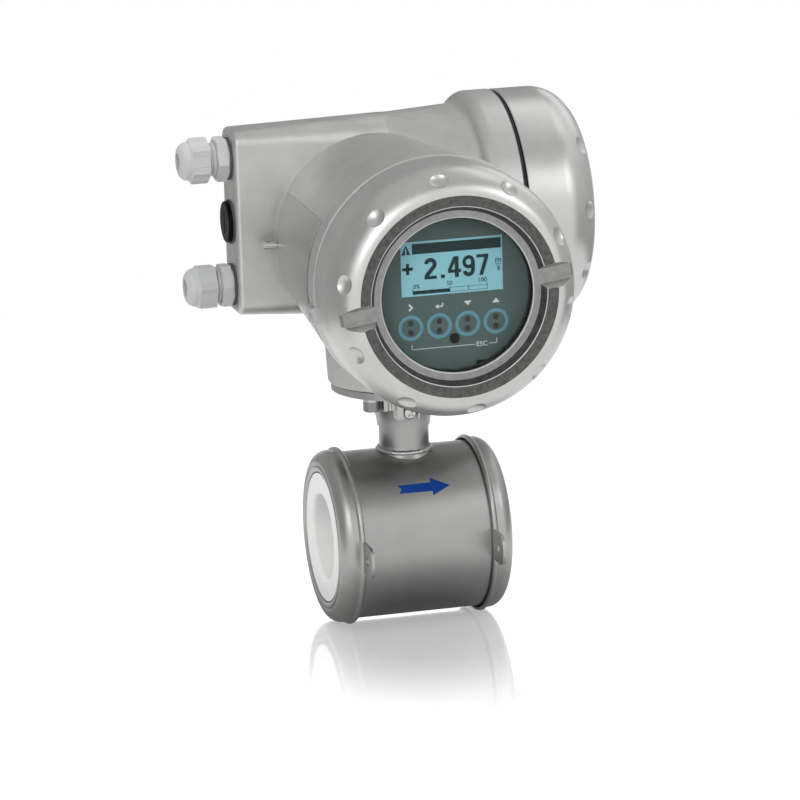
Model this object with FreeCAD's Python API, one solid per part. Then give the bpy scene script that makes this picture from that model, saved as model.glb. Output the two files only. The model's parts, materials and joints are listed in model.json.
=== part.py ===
import FreeCAD, Part
import math
import os

# Wafer-style electromagnetic flow meter with a two-chamber transmitter head, in mm.
# Frame: origin at the middle of the measuring bore, +X with the flow, display towards -Y, +Z up.

V = FreeCAD.Vector

# Driving dimensions: sensor
BORE_R = 25.0
TUBE_WALL = 13.0
TUBE_HALF = 51.4
FACE_PROUD = 0.8
BODY_INSET = 5.4
BODY_WALL = 2.4
END_PLATE = 2.0
RING_PROUD = 1.6
RIM_PROUD = 1.5
LIP_GAP = 0.7
LIP_WIDTH = 3.9
RING_REACH = 14.0
RING_SHOULDER = 8.0
EAR_THICK = 1.8
EAR_HEIGHT = 18.0
EAR_LENGTH = 20.5
EAR_HOLE_R = 2.6

# Driving dimensions: magnet system and electrodes
ELECTRODE_R = 2.0
ELECTRODE_HEAD_R = 4.5
ELECTRODE_HEAD = 4.0
COIL_SPACE = 8.4
YOKE_GAP = 0.6
YOKE_WALL = 1.4
YOKE_WIDTH = 34.0
COIL_R = 15.5
COIL_HOLE_R = 7.0

# Driving dimensions: neck, flange and its fasteners
NECK_R = 14.7
NECK_WALL = 2.3
WELD_WIDTH = 5.6
WELD_RISE = 3.6
NECK_LENGTH = 11.5
BELL_STEP = 0.9
BELL_HEIGHT = 23.2
BELL_TOP_INSET = 14.0
FLANGE_THICK = 4.2
FLANGE_R = 42.0
GASKET_THICK = 0.6
FLANGE_SCREW_INSET = 5.7
FLANGE_SCREW_SIZE = 6.0
FLANGE_SCREW_LENGTH = 16.0
SPRING_WASHER_THICK = 1.6
CLAMP_WIDTH = 13.6
CLAMP_DEPTH = 8.2
CLAMP_HEIGHT = 12.2
CLAMP_X = -6.5
CLAMP_GROOVE_WIDTH = 8.6
CLAMP_TAIL_WIDTH = 7.2
CLAMP_TAIL_HEIGHT = 6.8
CLAMP_SCREW_X = -5.2
CLAMP_SCREW_DROP = 8.8
CLAMP_SCREW_R = 4.0

# Driving dimensions: front drum of the head, distances h are measured towards the viewer
HEAD_CLEARANCE = 1.5
COLLAR_R = 72.4
COLLAR_H = 82.7
COLLAR_LENGTH = 11.0
DRUM_STEP = 1.2
DRUM_TAPER = 10.8
DRUM_REAR_H = -60.0
DRUM_RISE = 1.4
COLLAR_WALL = 8.2
CHAMBER_THREAD = 16.7
CHAMBER_STEP = 2.7
CHAMBER_TAPER = 3.9
CHAMBER_REAR_H = -9.0
SOCKET_PROUD = 1.6
SOCKET_FLARE = 2.0
SOCKET_TOP_DROP = 38.4

# Driving dimensions: rear terminal box of the head
REAR_Y = 68.5
REAR_RISE = 9.9
BOX_LEFT_X = -84.2
BOX_HALF_DEPTH = 16.0
BOX_HALF_HEIGHT = 54.9
BOX_RISE = 13.4
BOX_CORNER_R = 7.0
BOX_EDGE_R = 3.0
BOX_MID_X = 10.0
BOX_MID_CORNER_R = 16.0
BOX_WALL = 5.5
BOX_ROUND_X = 53.1
BOX_ROUND_WALL = 7.9
FLARE_LENGTH = 12.0
RIM_R = 70.3
RIM_LENGTH = 25.7
RIM_WALL = 7.7
RIM_DEPTH = 14.2
REAR_LEDGE = 7.1

# Driving dimensions: covers
COVER_GAP = 0.8
COVER_STEP = 0.6
COVER_LENGTH = 46.6
COVER_SHOULDER = 23.0
COVER_ROUND = 14.5
BAND_WIDTH = 6.4
BAND_DROP = 0.6
BAND_SLOPE = 2.7
LEDGE_WIDTH = 4.4
LEDGE_DROP = 5.4
COVER_WALL = 5.0
SPIGOT_CLEARANCE = 0.35
SPIGOT_LENGTH = 12.0
THREAD_PITCH = 3.0
THREAD_DEPTH = 0.9
DIMPLE_COUNT = 10
DIMPLE_SPAN = 11.3
DIMPLE_DEPTH = 2.1
DIMPLE_START = 26.0
DIMPLE_PLACE = 49.0
DIMPLE_LEAN = 47.0
SLOT_WIDTH = 8.3
SLOT_DRAFT = 3.0
SLOT_ANGLE = 8.0
CAP_GAP = 2.0
CAP_STEP = 0.2
CAP_LENGTH = 45.3
CAP_SHOULDER = 23.0
CAP_DIMPLE_START = 31.0
CAP_FACE_WIDTH = 6.1
CAP_RECESS = 1.2
CAP_SLOT_REACH = 24.0
CAP_SLOT_ANGLE = 49.0

# Driving dimensions: window and display
GLASS_SEAT = 4.2
GLASS_THICK = 5.0
GLASS_DROP = 1.8
RETAINER_THICK = 3.0
FACEPLATE_STEP = 1.0
FACEPLATE_DROP = 9.6
FACEPLATE_THICK = 3.3
LCD_WIDTH = 58.8
LCD_HEIGHT = 31.0
LCD_RISE = 14.6
LCD_DEPTH = 7.6
KEY_PITCH = 16.5
KEY_DROP = 18.8
KEY_LENS_R = 1.7
KEY_LENS_SPACING = 5.3
SENSOR_LENS_R = 2.6
SENSOR_LENS_DROP = 26.7
CAN_GAP = 2.6
CAN_WALL = 1.5
CAN_FLOOR = 2.0
CAN_SCREW_SIZE = 3.0
CAN_SCREW_LENGTH = 4.4
CAN_SCREW_INSET = 15.0
CAN_SCREW_ANGLES = (41, 139, 270)
CHIP_WIDTH = 14.0
CHIP_HEIGHT = 2.2
CONNECTOR_WIDTH = 24.0
CONNECTOR_DEPTH = 7.0
CONNECTOR_HEIGHT = 7.0
SIGNAL_BOARD_RISE = 14.0
POWER_BOARD_DROP = 10.0
BOARD_THICK = 1.6
POST_R = 3.0
POST_LENGTH = 4.3
POST_INSET = 11.0
POST_ANGLES = (200, 340, 90)
FRAME_EDGE = 3.0
FEED_R = 7.0
WIRE_HOLE_R = 4.0
FEED_X = -24.0
FEED_RISE = -20.0

# Driving dimensions: terminals
CARRIER_GAP = 1.0
CARRIER_THICK = 3.0
CARRIER_OPENING = 26.0
CARRIER_OPENING_RISE = 31.0
TERMINAL_WIDTH = 72.0
TERMINAL_COUNT = 9
TERMINAL_HEIGHT = 16.0
TERMINAL_DEPTH = 15.0
CARRIER_SCREW_SIZE = 3.0
CARRIER_SCREW_LENGTH = 7.5
CARRIER_SCREW_ANGLES = (35, 145, 215, 325)

# Driving dimensions: cable entries, distances h are measured outwards from the box
ENTRY_RISE = 13.0
ENTRY_PITCH = 38.0
ENTRY_BORE_R = 10.1
GLAND_THREAD_R = 9.9
GLAND_HEX = 24.0
GLAND_WASHER = 1.4
GLAND_FLANGE_R = 12.0
GLAND_HEX_START = 2.3
GLAND_HEX_THICK = 6.1
GLAND_TUBE_END = 20.0
GLAND_BORE_R = 7.7
GLAND_TURN = {1: -7.6, -1: 4.0}
NUT_START = {1: 12.9, -1: 11.5}
NUT_TURN = {1: 33.5, -1: 3.8}
NUT_HEX_LENGTH = 11.0
NUT_LENGTH = 17.7
NUT_BORE_R = 10.4
NUT_MOUTH_R = 5.2
SEAL_HOLE_R = 3.6
PLUG_WASHER = 1.0
PLUG_R = 12.4
PLUG_THICK = 2.6

# Type plate and small fittings
PLATE_BED = 0.15
PLATE_THICK = 0.6
PLATE_TOP_ANGLE = 30.5
PLATE_BOTTOM_ANGLE = -30.0
PLATE_FRONT_H = 64.0
PLATE_REAR_H = -44.0
EYELET_R = 2.3
EYELET_LENGTH = 8.0
EYELET_ANGLE = 178.0
LOCK_ANGLE = 191.6
LOCK_SCREW_R = 2.0

# Worked out from the dimensions above
TUBE_R = BORE_R + TUBE_WALL
YOKE_R = TUBE_R + COIL_SPACE
BODY_INNER_R = YOKE_R + YOKE_GAP
BODY_R = BODY_INNER_R + BODY_WALL
BODY_HALF = TUBE_HALF - BODY_INSET
FACE_HALF = TUBE_HALF + FACE_PROUD
RING_R = BODY_R + RING_PROUD
RING_RIM_R = RING_R + RIM_PROUD
RING_LIP_R = TUBE_R + LIP_GAP
RING_GROOVE_R = RING_LIP_R + LIP_WIDTH
RIM_X_INNER = FACE_HALF - RING_REACH
EAR_REACH = RING_R + EAR_LENGTH
WELD_TOP_Z = BODY_R + WELD_RISE
BELL_Z = WELD_TOP_Z + NECK_LENGTH
BELL_TOP_R = FLANGE_R - BELL_TOP_INSET
FLANGE_Z = BELL_Z + BELL_HEIGHT
FLANGE_SCREW_CIRCLE_R = FLANGE_R - FLANGE_SCREW_INSET
SOCKET_Z = FLANGE_Z + FLANGE_THICK + GASKET_THICK
SOCKET_R = FLANGE_R + SOCKET_PROUD
SOCKET_TOP_R = SOCKET_R + SOCKET_FLARE
HEAD_Z = SOCKET_Z + COLLAR_R + HEAD_CLEARANCE
SOCKET_TOP_Z = HEAD_Z - SOCKET_TOP_DROP
DRUM_FRONT_R = COLLAR_R - DRUM_STEP
DRUM_REAR_R = DRUM_FRONT_R - DRUM_TAPER
CHAMBER_R = COLLAR_R - COLLAR_WALL
CHAMBER_MID_R = CHAMBER_R - CHAMBER_STEP
CHAMBER_REAR_R = CHAMBER_MID_R - CHAMBER_TAPER
CHAMBER_THREAD_END_H = COLLAR_H - CHAMBER_THREAD
REAR_Z = HEAD_Z + REAR_RISE
BOX_CENTRE_Z = HEAD_Z + BOX_RISE
ENTRY_Z = HEAD_Z + ENTRY_RISE
RIM_X = BOX_ROUND_X + RIM_LENGTH
REAR_LEDGE_X = RIM_X - RIM_DEPTH
REAR_BORE_R = RIM_R - RIM_WALL
REAR_NECK_R = REAR_BORE_R - REAR_LEDGE
BOX_ROUND_R = REAR_NECK_R + BOX_ROUND_WALL
COVER_R = COLLAR_R - COVER_STEP
COVER_H = COLLAR_H + COVER_GAP
CREST_R = COVER_R - COVER_ROUND
CREST_H = COVER_H + COVER_LENGTH
BAND_R = CREST_R - BAND_WIDTH
LEDGE_R = BAND_R - BAND_SLOPE
LEDGE_H = CREST_H - LEDGE_DROP
WINDOW_R = LEDGE_R - LEDGE_WIDTH
GLASS_R = WINDOW_R + GLASS_SEAT
GLASS_H = LEDGE_H - GLASS_DROP
CAP_R = RIM_R - CAP_STEP
CAP_X = RIM_X + CAP_GAP
CAP_END_X = CAP_X + CAP_LENGTH
CAP_RECESS_R = CAP_R - CAP_SHOULDER - CAP_FACE_WIDTH
CAN_R = CHAMBER_REAR_R - CAN_GAP
FACEPLATE_R = CAN_R + FACEPLATE_STEP
FACEPLATE_H = GLASS_H - FACEPLATE_DROP
CAN_H = FACEPLATE_H - FACEPLATE_THICK
CARRIER_R = REAR_BORE_R - CARRIER_GAP
CARRIER_X = REAR_LEDGE_X + CARRIER_THICK
CARRIER_SCREW_R = (REAR_NECK_R + REAR_BORE_R) / 2


# Placing and basic forms
def placed(shape, origin, ex, ey):
    """Put a shape drawn in local axes into the frame: local x and y run along ex and ey."""
    ez = ex.cross(ey)
    matrix = FreeCAD.Matrix(
        ex.x, ey.x, ez.x, origin.x,
        ex.y, ey.y, ez.y, origin.y,
        ex.z, ey.z, ez.z, origin.z,
        0, 0, 0, 1)
    moved = shape.copy()
    moved.Placement = FreeCAD.Placement(matrix).multiply(moved.Placement)
    return moved


def on_tube(shape):
    """Local z runs with the flow through the middle of the bore."""
    return placed(shape, V(0, 0, 0), V(0, 1, 0), V(0, 0, 1))


def on_inlet(shape):
    """Local z runs against the flow, for what is repeated at the inlet."""
    return placed(shape, V(0, 0, 0), V(0, -1, 0), V(0, 0, 1))


def on_display(shape):
    """Local z runs from the head towards the viewer, local y is up."""
    return placed(shape, V(0, 0, HEAD_Z), V(1, 0, 0), V(0, 0, 1))


def on_rear(shape):
    """Local z runs along the terminal box towards its cap, local y is up."""
    return placed(shape, V(0, REAR_Y, REAR_Z), V(0, 1, 0), V(0, 0, 1))


def on_entry(shape, step):
    """Local z runs out of a cable entry; step 1 is the upper one, 0 the middle, -1 the lower."""
    return placed(shape, V(BOX_LEFT_X, REAR_Y, ENTRY_Z + step * ENTRY_PITCH), V(0, -1, 0), V(0, 0, 1))


def turned(profile):
    """Revolve a closed outline of (radius, height) corners about local z.

    A pair of points in place of a corner is an arc through the first to the second.
    A pair followed by True is a quarter ellipse that fills the first, its corner, up to the second.
    """
    start = V(profile[0][0], 0, profile[0][1])
    last = start
    edges = []
    for item in profile[1:] + [profile[0]]:
        if isinstance(item[0], tuple):
            middle = V(item[0][0], 0, item[0][1])
            end = V(item[1][0], 0, item[1][1])
            edge = quarter_ellipse(last, middle, end) if len(item) > 2 else Part.Arc(last, middle, end)
            edges.append(edge.toShape())
        else:
            end = V(item[0], 0, item[1])
            if end.distanceToPoint(last) > 1e-6:
                edges.append(Part.makeLine(last, end))
        last = end
    return Part.Face(Part.Wire(edges)).revolve(V(0, 0, 0), V(0, 0, 1), 360)


def quarter_ellipse(start, corner, end):
    """Quarter ellipse from start to end that is tangent to both sides of the corner."""
    centre = start + end - corner
    far, near = (start, end) if start.distanceToPoint(centre) > end.distanceToPoint(centre) else (end, start)
    ellipse = Part.Ellipse(far, near, centre)
    return Part.ArcOfEllipse(ellipse, 0, math.pi / 2)


def disc(radius, low, high, x=0.0, y=0.0):
    return Part.makeCylinder(radius, high - low, V(x, y, low))


def ring(inner, outer, low, high):
    return disc(outer, low, high).cut(disc(inner, low - 1, high + 1))


def block(width, depth, low, high, x=0.0, y=0.0):
    return Part.makeBox(width, depth, high - low, V(x - width / 2, y - depth / 2, low))


def hexagon(across_flats, low, high):
    """Hexagonal prism with a flat on top."""
    corner = across_flats / math.sqrt(3)
    points = [V(corner * math.cos(math.radians(60 * i)), corner * math.sin(math.radians(60 * i)), low)
              for i in range(7)]
    return Part.Face(Part.makePolygon(points)).extrude(V(0, 0, high - low))


def spun(shape, angle):
    """Turn a local shape about local z by an angle in degrees."""
    turned_shape = shape.copy()
    turned_shape.rotate(V(0, 0, 0), V(0, 0, 1), angle)
    return turned_shape


def joined(shapes):
    return shapes[0].fuse(shapes[1:]).removeSplitter()


def arc_middle(centre, radius_r, radius_h, angle):
    """Point on an ellipse-like shoulder, used as the middle of an arc."""
    return (centre[0] + radius_r * math.cos(math.radians(angle)),
            centre[1] + radius_h * math.sin(math.radians(angle)))


# Sensor
def neck_outline():
    """Weld, neck pipe, bell and flange as one turned form about the vertical axis."""
    root_z = math.sqrt(BODY_INNER_R ** 2 - (NECK_R + WELD_WIDTH) ** 2)
    weld_middle = (NECK_R + WELD_WIDTH * 0.27, WELD_TOP_Z - (WELD_TOP_Z - root_z) * 0.5)
    bell_middle = (NECK_R + (BELL_TOP_R - NECK_R) * 0.4, BELL_Z + (FLANGE_Z - BELL_Z) * 0.62)
    return turned([
        (0, root_z), (NECK_R + WELD_WIDTH, root_z),
        (weld_middle, (NECK_R, WELD_TOP_Z)),
        (NECK_R, BELL_Z), (NECK_R + BELL_STEP, BELL_Z),
        (bell_middle, (BELL_TOP_R, FLANGE_Z)),
        (FLANGE_R, FLANGE_Z), (FLANGE_R, FLANGE_Z + FLANGE_THICK), (0, FLANGE_Z + FLANGE_THICK)])


def flange_hole_places():
    return [(FLANGE_SCREW_CIRCLE_R * math.cos(math.radians(45 + 90 * i)),
             FLANGE_SCREW_CIRCLE_R * math.sin(math.radians(45 + 90 * i))) for i in range(4)]


def sensor_housing():
    """Welded steel jacket: round body, end plates, neck, bell and head flange."""
    neck = neck_outline().cut(on_tube(disc(BODY_INNER_R, -BODY_HALF, BODY_HALF)))
    jacket = on_tube(ring(BODY_INNER_R, BODY_R, -BODY_HALF, BODY_HALF))
    plate = ring(TUBE_R, BODY_INNER_R + BODY_WALL * 0.2, BODY_HALF - END_PLATE, BODY_HALF)
    body = joined([jacket, on_tube(plate), on_inlet(plate), neck])
    body = body.cut(disc(NECK_R - NECK_WALL, BODY_INNER_R - 8, FLANGE_Z + FLANGE_THICK + 1))
    for x, y in flange_hole_places():
        body = body.cut(disc(FLANGE_SCREW_SIZE / 2 + 0.3, FLANGE_Z - 1, FLANGE_Z + FLANGE_THICK + 1, x, y))
    return body


def measuring_tube():
    """Ceramic measuring tube with eased bore edges and two electrode holes."""
    ease = 2.5
    form = turned([
        (BORE_R, -TUBE_HALF + ease),
        ((BORE_R + ease * 0.3, -TUBE_HALF + ease * 0.3), (BORE_R + ease, -TUBE_HALF)),
        (TUBE_R, -TUBE_HALF), (TUBE_R, TUBE_HALF), (BORE_R + ease, TUBE_HALF),
        ((BORE_R + ease * 0.3, TUBE_HALF - ease * 0.3), (BORE_R, TUBE_HALF - ease))])
    tube = on_tube(form)
    hole = Part.makeCylinder(ELECTRODE_R, 2 * TUBE_R + 4, V(0, -TUBE_R - 2, 0), V(0, 1, 0))
    return tube.cut(hole)


def earthing_ring_form():
    """Earthing ring with lip, groove, round shoulder, band and rolled rim, drawn for the outlet."""
    groove = 1.3
    lip = 0.8
    mouth = 1.4
    centre = (RING_R - RING_SHOULDER, FACE_HALF - RING_SHOULDER)
    body = turned([
        (RING_LIP_R, BODY_HALF), (RING_LIP_R, FACE_HALF - lip), (RING_LIP_R + 1.6, FACE_HALF),
        (RING_GROOVE_R - 1.0, FACE_HALF),
        ((RING_GROOVE_R, FACE_HALF - groove), (RING_GROOVE_R + 1.0, FACE_HALF - 0.4)),
        (arc_middle(centre, RING_SHOULDER, RING_SHOULDER, 42), (RING_R, FACE_HALF - RING_SHOULDER)),
        (RING_R, RIM_X_INNER + 3.4),
        ((RING_RIM_R, RIM_X_INNER + 1.6), (RING_R + 0.6, RIM_X_INNER)),
        (BODY_R + mouth, RIM_X_INNER), (BODY_R + 0.15, RIM_X_INNER + 3.0), (BODY_R + 0.15, BODY_HALF)])
    return body


def ear_form():
    """Radial earthing ear of the ring, its round end towards local -x (the front)."""
    root = RING_R - 0.6
    half = EAR_HEIGHT / 2
    straight = EAR_REACH - half * 0.8
    outline = [Part.makeLine(V(-root, -half, 0), V(-straight, -half, 0)),
               Part.Arc(V(-straight, -half, 0), V(-EAR_REACH, 0, 0), V(-straight, half, 0)).toShape(),
               Part.makeLine(V(-straight, half, 0), V(-root, half, 0)),
               Part.makeLine(V(-root, half, 0), V(-root, -half, 0))]
    ear = Part.Face(Part.Wire(outline)).extrude(V(0, 0, EAR_THICK))
    ear = ear.cut(disc(EAR_HOLE_R, -1, EAR_THICK + 1, -(RING_R + EAR_REACH) / 2))
    ear.translate(V(0, 0, RIM_X_INNER + 0.2))
    return ear.cut(disc(BODY_R + 1.4, 0, FACE_HALF))


def outlet_ring():
    return joined([on_tube(earthing_ring_form()), on_tube(ear_form())])


def inlet_ring():
    return outlet_ring().mirror(V(0, 0, 0), V(1, 0, 0))


def tube_seal_form():
    return ring(TUBE_R + 0.05, RING_LIP_R, BODY_HALF, TUBE_HALF - 0.3)


# Magnet system and electrodes inside the sensor
def saddle(shape):
    """Fit a vertical form between the measuring tube and the return yoke."""
    space = on_tube(ring(TUBE_R, YOKE_R - YOKE_WALL, -TUBE_HALF, TUBE_HALF))
    return shape.common(space)


def field_coil(side):
    coil = saddle(ring(COIL_HOLE_R, COIL_R, 20, YOKE_R))
    return coil if side > 0 else coil.mirror(V(0, 0, 0), V(0, 0, 1))


def pole_core(side):
    core = saddle(disc(COIL_HOLE_R - 0.2, 20, YOKE_R))
    return core if side > 0 else core.mirror(V(0, 0, 0), V(0, 0, 1))


def magnet_yoke():
    """Steel strip round the coils that closes the magnetic circuit, with a gap under the neck."""
    strip = on_tube(ring(YOKE_R - YOKE_WALL, YOKE_R, -YOKE_WIDTH / 2, YOKE_WIDTH / 2))
    rest = on_tube(ring(YOKE_R - 0.2, BODY_INNER_R, -YOKE_WIDTH / 2, -YOKE_WIDTH / 2 + 3))
    return joined([strip, rest])


def electrodes():
    """Two measuring electrodes on the level axis, each a pin with an outer head."""
    pin = Part.makeCylinder(ELECTRODE_R - 0.05, TUBE_R - BORE_R + 3, V(0, BORE_R, 0), V(0, 1, 0))
    head = Part.makeCylinder(ELECTRODE_HEAD_R, ELECTRODE_HEAD, V(0, TUBE_R - 0.8, 0), V(0, 1, 0))
    head = head.cut(on_tube(disc(TUBE_R, -2 * ELECTRODE_HEAD_R, 2 * ELECTRODE_HEAD_R)))
    rear = joined([pin, head])
    return Part.makeCompound([rear, rear.mirror(V(0, 0, 0), V(0, 1, 0))])


# Neck joint
def neck_gasket():
    gasket = ring(NECK_R, FLANGE_R - 1.5, FLANGE_Z + FLANGE_THICK, SOCKET_Z)
    for x, y in flange_hole_places():
        gasket = gasket.cut(disc(FLANGE_SCREW_SIZE / 2 + 0.3, FLANGE_Z, SOCKET_Z + 1, x, y))
    return gasket


def cap_screw(size, length):
    """Hexagon socket cap screw, head below z = 0 and shank above it."""
    head_r = size * 0.83
    rim = size * 0.08
    head = turned([(0, -size), (head_r - rim, -size), (head_r, -size + rim), (head_r, 0), (0, 0)])
    shank = disc(size / 2 - 0.1, 0, length)
    return joined([head, shank]).cut(hexagon(size * 0.83, -size - 1, -size * 0.5))


def flange_screws():
    screws = []
    for x, y in flange_hole_places():
        screw = cap_screw(FLANGE_SCREW_SIZE, FLANGE_SCREW_LENGTH)
        screw.translate(V(x, y, FLANGE_Z - SPRING_WASHER_THICK))
        screws.append(screw)
    return Part.makeCompound(screws)


def spring_washers():
    """Split spring washer under each flange screw head."""
    washers = []
    for x, y in flange_hole_places():
        washer = ring(FLANGE_SCREW_SIZE / 2 + 0.05, FLANGE_SCREW_SIZE * 0.82, -SPRING_WASHER_THICK, 0)
        split = block(FLANGE_SCREW_SIZE, 0.5, -SPRING_WASHER_THICK - 1, 1, FLANGE_SCREW_SIZE * 0.6)
        washer = washer.cut(split)
        washer.translate(V(x, y, FLANGE_Z))
        washers.append(washer)
    return Part.makeCompound(washers)


def clamp_front_y():
    return -math.sqrt((FLANGE_R - 5.0) ** 2 - CLAMP_X ** 2)


def earth_clamp():
    """Earthing block under the head flange: a forked jaw with a ribbed tail beside it."""
    front = clamp_front_y()
    foot = FLANGE_Z - CLAMP_HEIGHT
    jaw = Part.makeBox(CLAMP_WIDTH, CLAMP_DEPTH, CLAMP_HEIGHT, V(CLAMP_X - CLAMP_WIDTH / 2, front, foot))
    groove_x = CLAMP_SCREW_X - CLAMP_GROOVE_WIDTH / 2
    groove = Part.makeBox(CLAMP_GROOVE_WIDTH, CLAMP_DEPTH * 0.35, CLAMP_HEIGHT + 2,
                          V(groove_x, front - 0.01, foot - 2))
    tail_x = CLAMP_X - CLAMP_WIDTH / 2 - CLAMP_TAIL_WIDTH
    tail_z = FLANGE_Z - CLAMP_TAIL_HEIGHT
    tail = Part.makeBox(CLAMP_TAIL_WIDTH + 0.5, CLAMP_DEPTH * 0.8, CLAMP_TAIL_HEIGHT,
                        V(tail_x, front + 2.5, tail_z))
    flute_x = tail_x + CLAMP_TAIL_WIDTH * 0.5
    flute = Part.makeCylinder(1.3, CLAMP_TAIL_HEIGHT + 2, V(flute_x, front + 2.1, tail_z - 1))
    hole = Part.makeCylinder(2.1, CLAMP_DEPTH + 2,
                             V(CLAMP_SCREW_X, front - 1, FLANGE_Z - CLAMP_SCREW_DROP), V(0, 1, 0))
    return joined([jaw.cut(groove), tail.cut(flute)]).cut(hole)


def earth_screw():
    """Cross-recess pan-head screw that closes the earthing jaw."""
    seat = CLAMP_DEPTH * 0.35
    head = turned([(0, 0), (CLAMP_SCREW_R, 0), (CLAMP_SCREW_R, 1.2),
                   ((CLAMP_SCREW_R * 0.8, 2.3), (CLAMP_SCREW_R * 0.4, 2.8)), (0, 2.8)])
    screw = joined([head, disc(1.95, -(CLAMP_DEPTH - seat), 0)])
    for angle in (45, 135):
        screw = screw.cut(spun(block(1.1, CLAMP_SCREW_R * 1.1, 1.2, 4.0), angle))
    place = V(CLAMP_SCREW_X, clamp_front_y() + seat - 0.01, FLANGE_Z - CLAMP_SCREW_DROP)
    return placed(screw, place, V(1, 0, 0), V(0, 0, 1))


# Head housing
def rounded_section(x, half_y, half_z, corner, centre_y, centre_z):
    """Closed wire in a plane of constant x, four sides and four round corners."""
    edges = []
    corners = [(1, 1, 0), (-1, 1, 90), (-1, -1, 180), (1, -1, 270)]
    for sy, sz, start in corners:
        cy = centre_y + sy * (half_y - corner)
        cz = centre_z + sz * (half_z - corner)

        def at(angle):
            return V(x, cy + corner * math.cos(math.radians(angle)),
                     cz + corner * math.sin(math.radians(angle)))

        edges.append(Part.Arc(at(start), at(start + 45), at(start + 90)).toShape())
    sides = []
    for i in range(4):
        sides.append(edges[i])
        sides.append(Part.makeLine(edges[i].Vertexes[1].Point, edges[(i + 1) % 4].Vertexes[0].Point))
    return Part.Wire(sides)


def round_section(x, radius, centre_y, centre_z, half_y, half_z):
    """Closed round wire whose corner points match those of the rounded section."""
    lean = math.degrees(math.atan2(half_z * 0.8, half_y * 0.8 + radius * 0.35))
    marks = [90 - lean, lean + 8]
    angles = [marks[0] * 0.5, marks[1], 180 - marks[1], 180 - marks[0] * 0.5,
              180 + marks[0] * 0.5, 360 - 180 + marks[1], 360 - marks[1], 360 - marks[0] * 0.5]

    def at(angle):
        return V(x, centre_y + radius * math.cos(math.radians(angle)),
                 centre_z + radius * math.sin(math.radians(angle)))

    edges = []
    for i in range(8):
        a = angles[i]
        b = angles[(i + 1) % 8]
        if b < a:
            b += 360
        edges.append(Part.Arc(at(a), at((a + b) / 2), at(b)).toShape())
    return Part.Wire(edges)


def box_loft(left_x, inset, right_r):
    """Terminal box: flat-sided from its left end to the middle, then swelling to a round end."""
    share = (BOX_MID_X - BOX_LEFT_X) / (BOX_ROUND_X - BOX_LEFT_X)
    mid_half_z = BOX_HALF_HEIGHT + (BOX_ROUND_R - BOX_HALF_HEIGHT) * share
    mid_z = BOX_CENTRE_Z + (REAR_Z - BOX_CENTRE_Z) * share
    half_y = BOX_HALF_DEPTH - inset
    half_z = BOX_HALF_HEIGHT - inset
    left_corner = max(BOX_CORNER_R - inset, 3.0)
    mid_corner = max(BOX_MID_CORNER_R - inset, 4.0)
    sections = [
        rounded_section(left_x, half_y, half_z, left_corner, REAR_Y, BOX_CENTRE_Z),
        rounded_section(BOX_MID_X, half_y + 1.0, mid_half_z - inset, mid_corner, REAR_Y, mid_z),
        round_section(BOX_ROUND_X, right_r, REAR_Y, REAR_Z, half_y, half_z)]
    return Part.makeLoft(sections, True, True)


def drum_cone(grow):
    """Tapering drum wall, its rear end a little higher than its front end."""
    front = Part.makeCircle(DRUM_FRONT_R + grow, V(0, 0, COLLAR_H - COLLAR_LENGTH - 5.0))
    rear = Part.makeCircle(DRUM_REAR_R + grow, V(0, DRUM_RISE, DRUM_REAR_H))
    return Part.makeLoft([Part.Wire([rear]), Part.Wire([front])], True, True)


def drum_outer():
    """Front drum: collar, shallow groove and tapering wall."""
    step_h = COLLAR_H - COLLAR_LENGTH
    collar = turned([
        (0, step_h - 5.0), (DRUM_FRONT_R, step_h - 5.0), (DRUM_FRONT_R, step_h - 1.2), (COLLAR_R, step_h),
        (COLLAR_R, COLLAR_H - 0.8), (COLLAR_R - 0.8, COLLAR_H), (0, COLLAR_H)])
    return on_display(collar.fuse(drum_cone(0)))


def drum_chamber():
    return on_display(turned([
        (0, CHAMBER_REAR_H), (CHAMBER_REAR_R, CHAMBER_REAR_H), (CHAMBER_MID_R, CHAMBER_THREAD_END_H - 3),
        (CHAMBER_R, CHAMBER_THREAD_END_H), (CHAMBER_R, COLLAR_H - 1), (CHAMBER_R + 1, COLLAR_H + 0.01),
        (0, COLLAR_H + 1)]))


def rear_flare():
    """Round end of the terminal box that swells to the cap rim, hollow first and then round."""
    rise = RIM_R - BOX_ROUND_R
    turn = (BOX_ROUND_R + rise * 0.45, BOX_ROUND_X + FLARE_LENGTH * 0.38)
    return on_rear(turned([
        (0, BOX_ROUND_X - 2), (BOX_ROUND_R - 6, BOX_ROUND_X - 2), (BOX_ROUND_R, BOX_ROUND_X),
        ((BOX_ROUND_R + rise * 0.13, BOX_ROUND_X + FLARE_LENGTH * 0.22), turn),
        ((BOX_ROUND_R + rise * 0.86, BOX_ROUND_X + FLARE_LENGTH * 0.66), (RIM_R, BOX_ROUND_X + FLARE_LENGTH)),
        (RIM_R, RIM_X - 1), (RIM_R - 1, RIM_X), (0, RIM_X)]))


def rear_chamber():
    """Hollow of the terminal box and the threaded bore of its round end."""
    bore = on_rear(turned([
        (0, BOX_ROUND_X - 2), (REAR_NECK_R - 6, BOX_ROUND_X - 2), (REAR_NECK_R, BOX_ROUND_X),
        (REAR_NECK_R, REAR_LEDGE_X),
        (REAR_BORE_R, REAR_LEDGE_X), (REAR_BORE_R, RIM_X - 1), (REAR_BORE_R + 1, RIM_X + 0.01),
        (0, RIM_X + 1)]))
    return [box_loft(BOX_LEFT_X + BOX_WALL, BOX_WALL, REAR_NECK_R), bore]


def base_socket():
    return turned([(0, SOCKET_Z), (SOCKET_R - 0.6, SOCKET_Z), (SOCKET_R, SOCKET_Z + 0.6),
                   (SOCKET_TOP_R, SOCKET_TOP_Z), (SOCKET_TOP_R, HEAD_Z), (0, HEAD_Z)])


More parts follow.
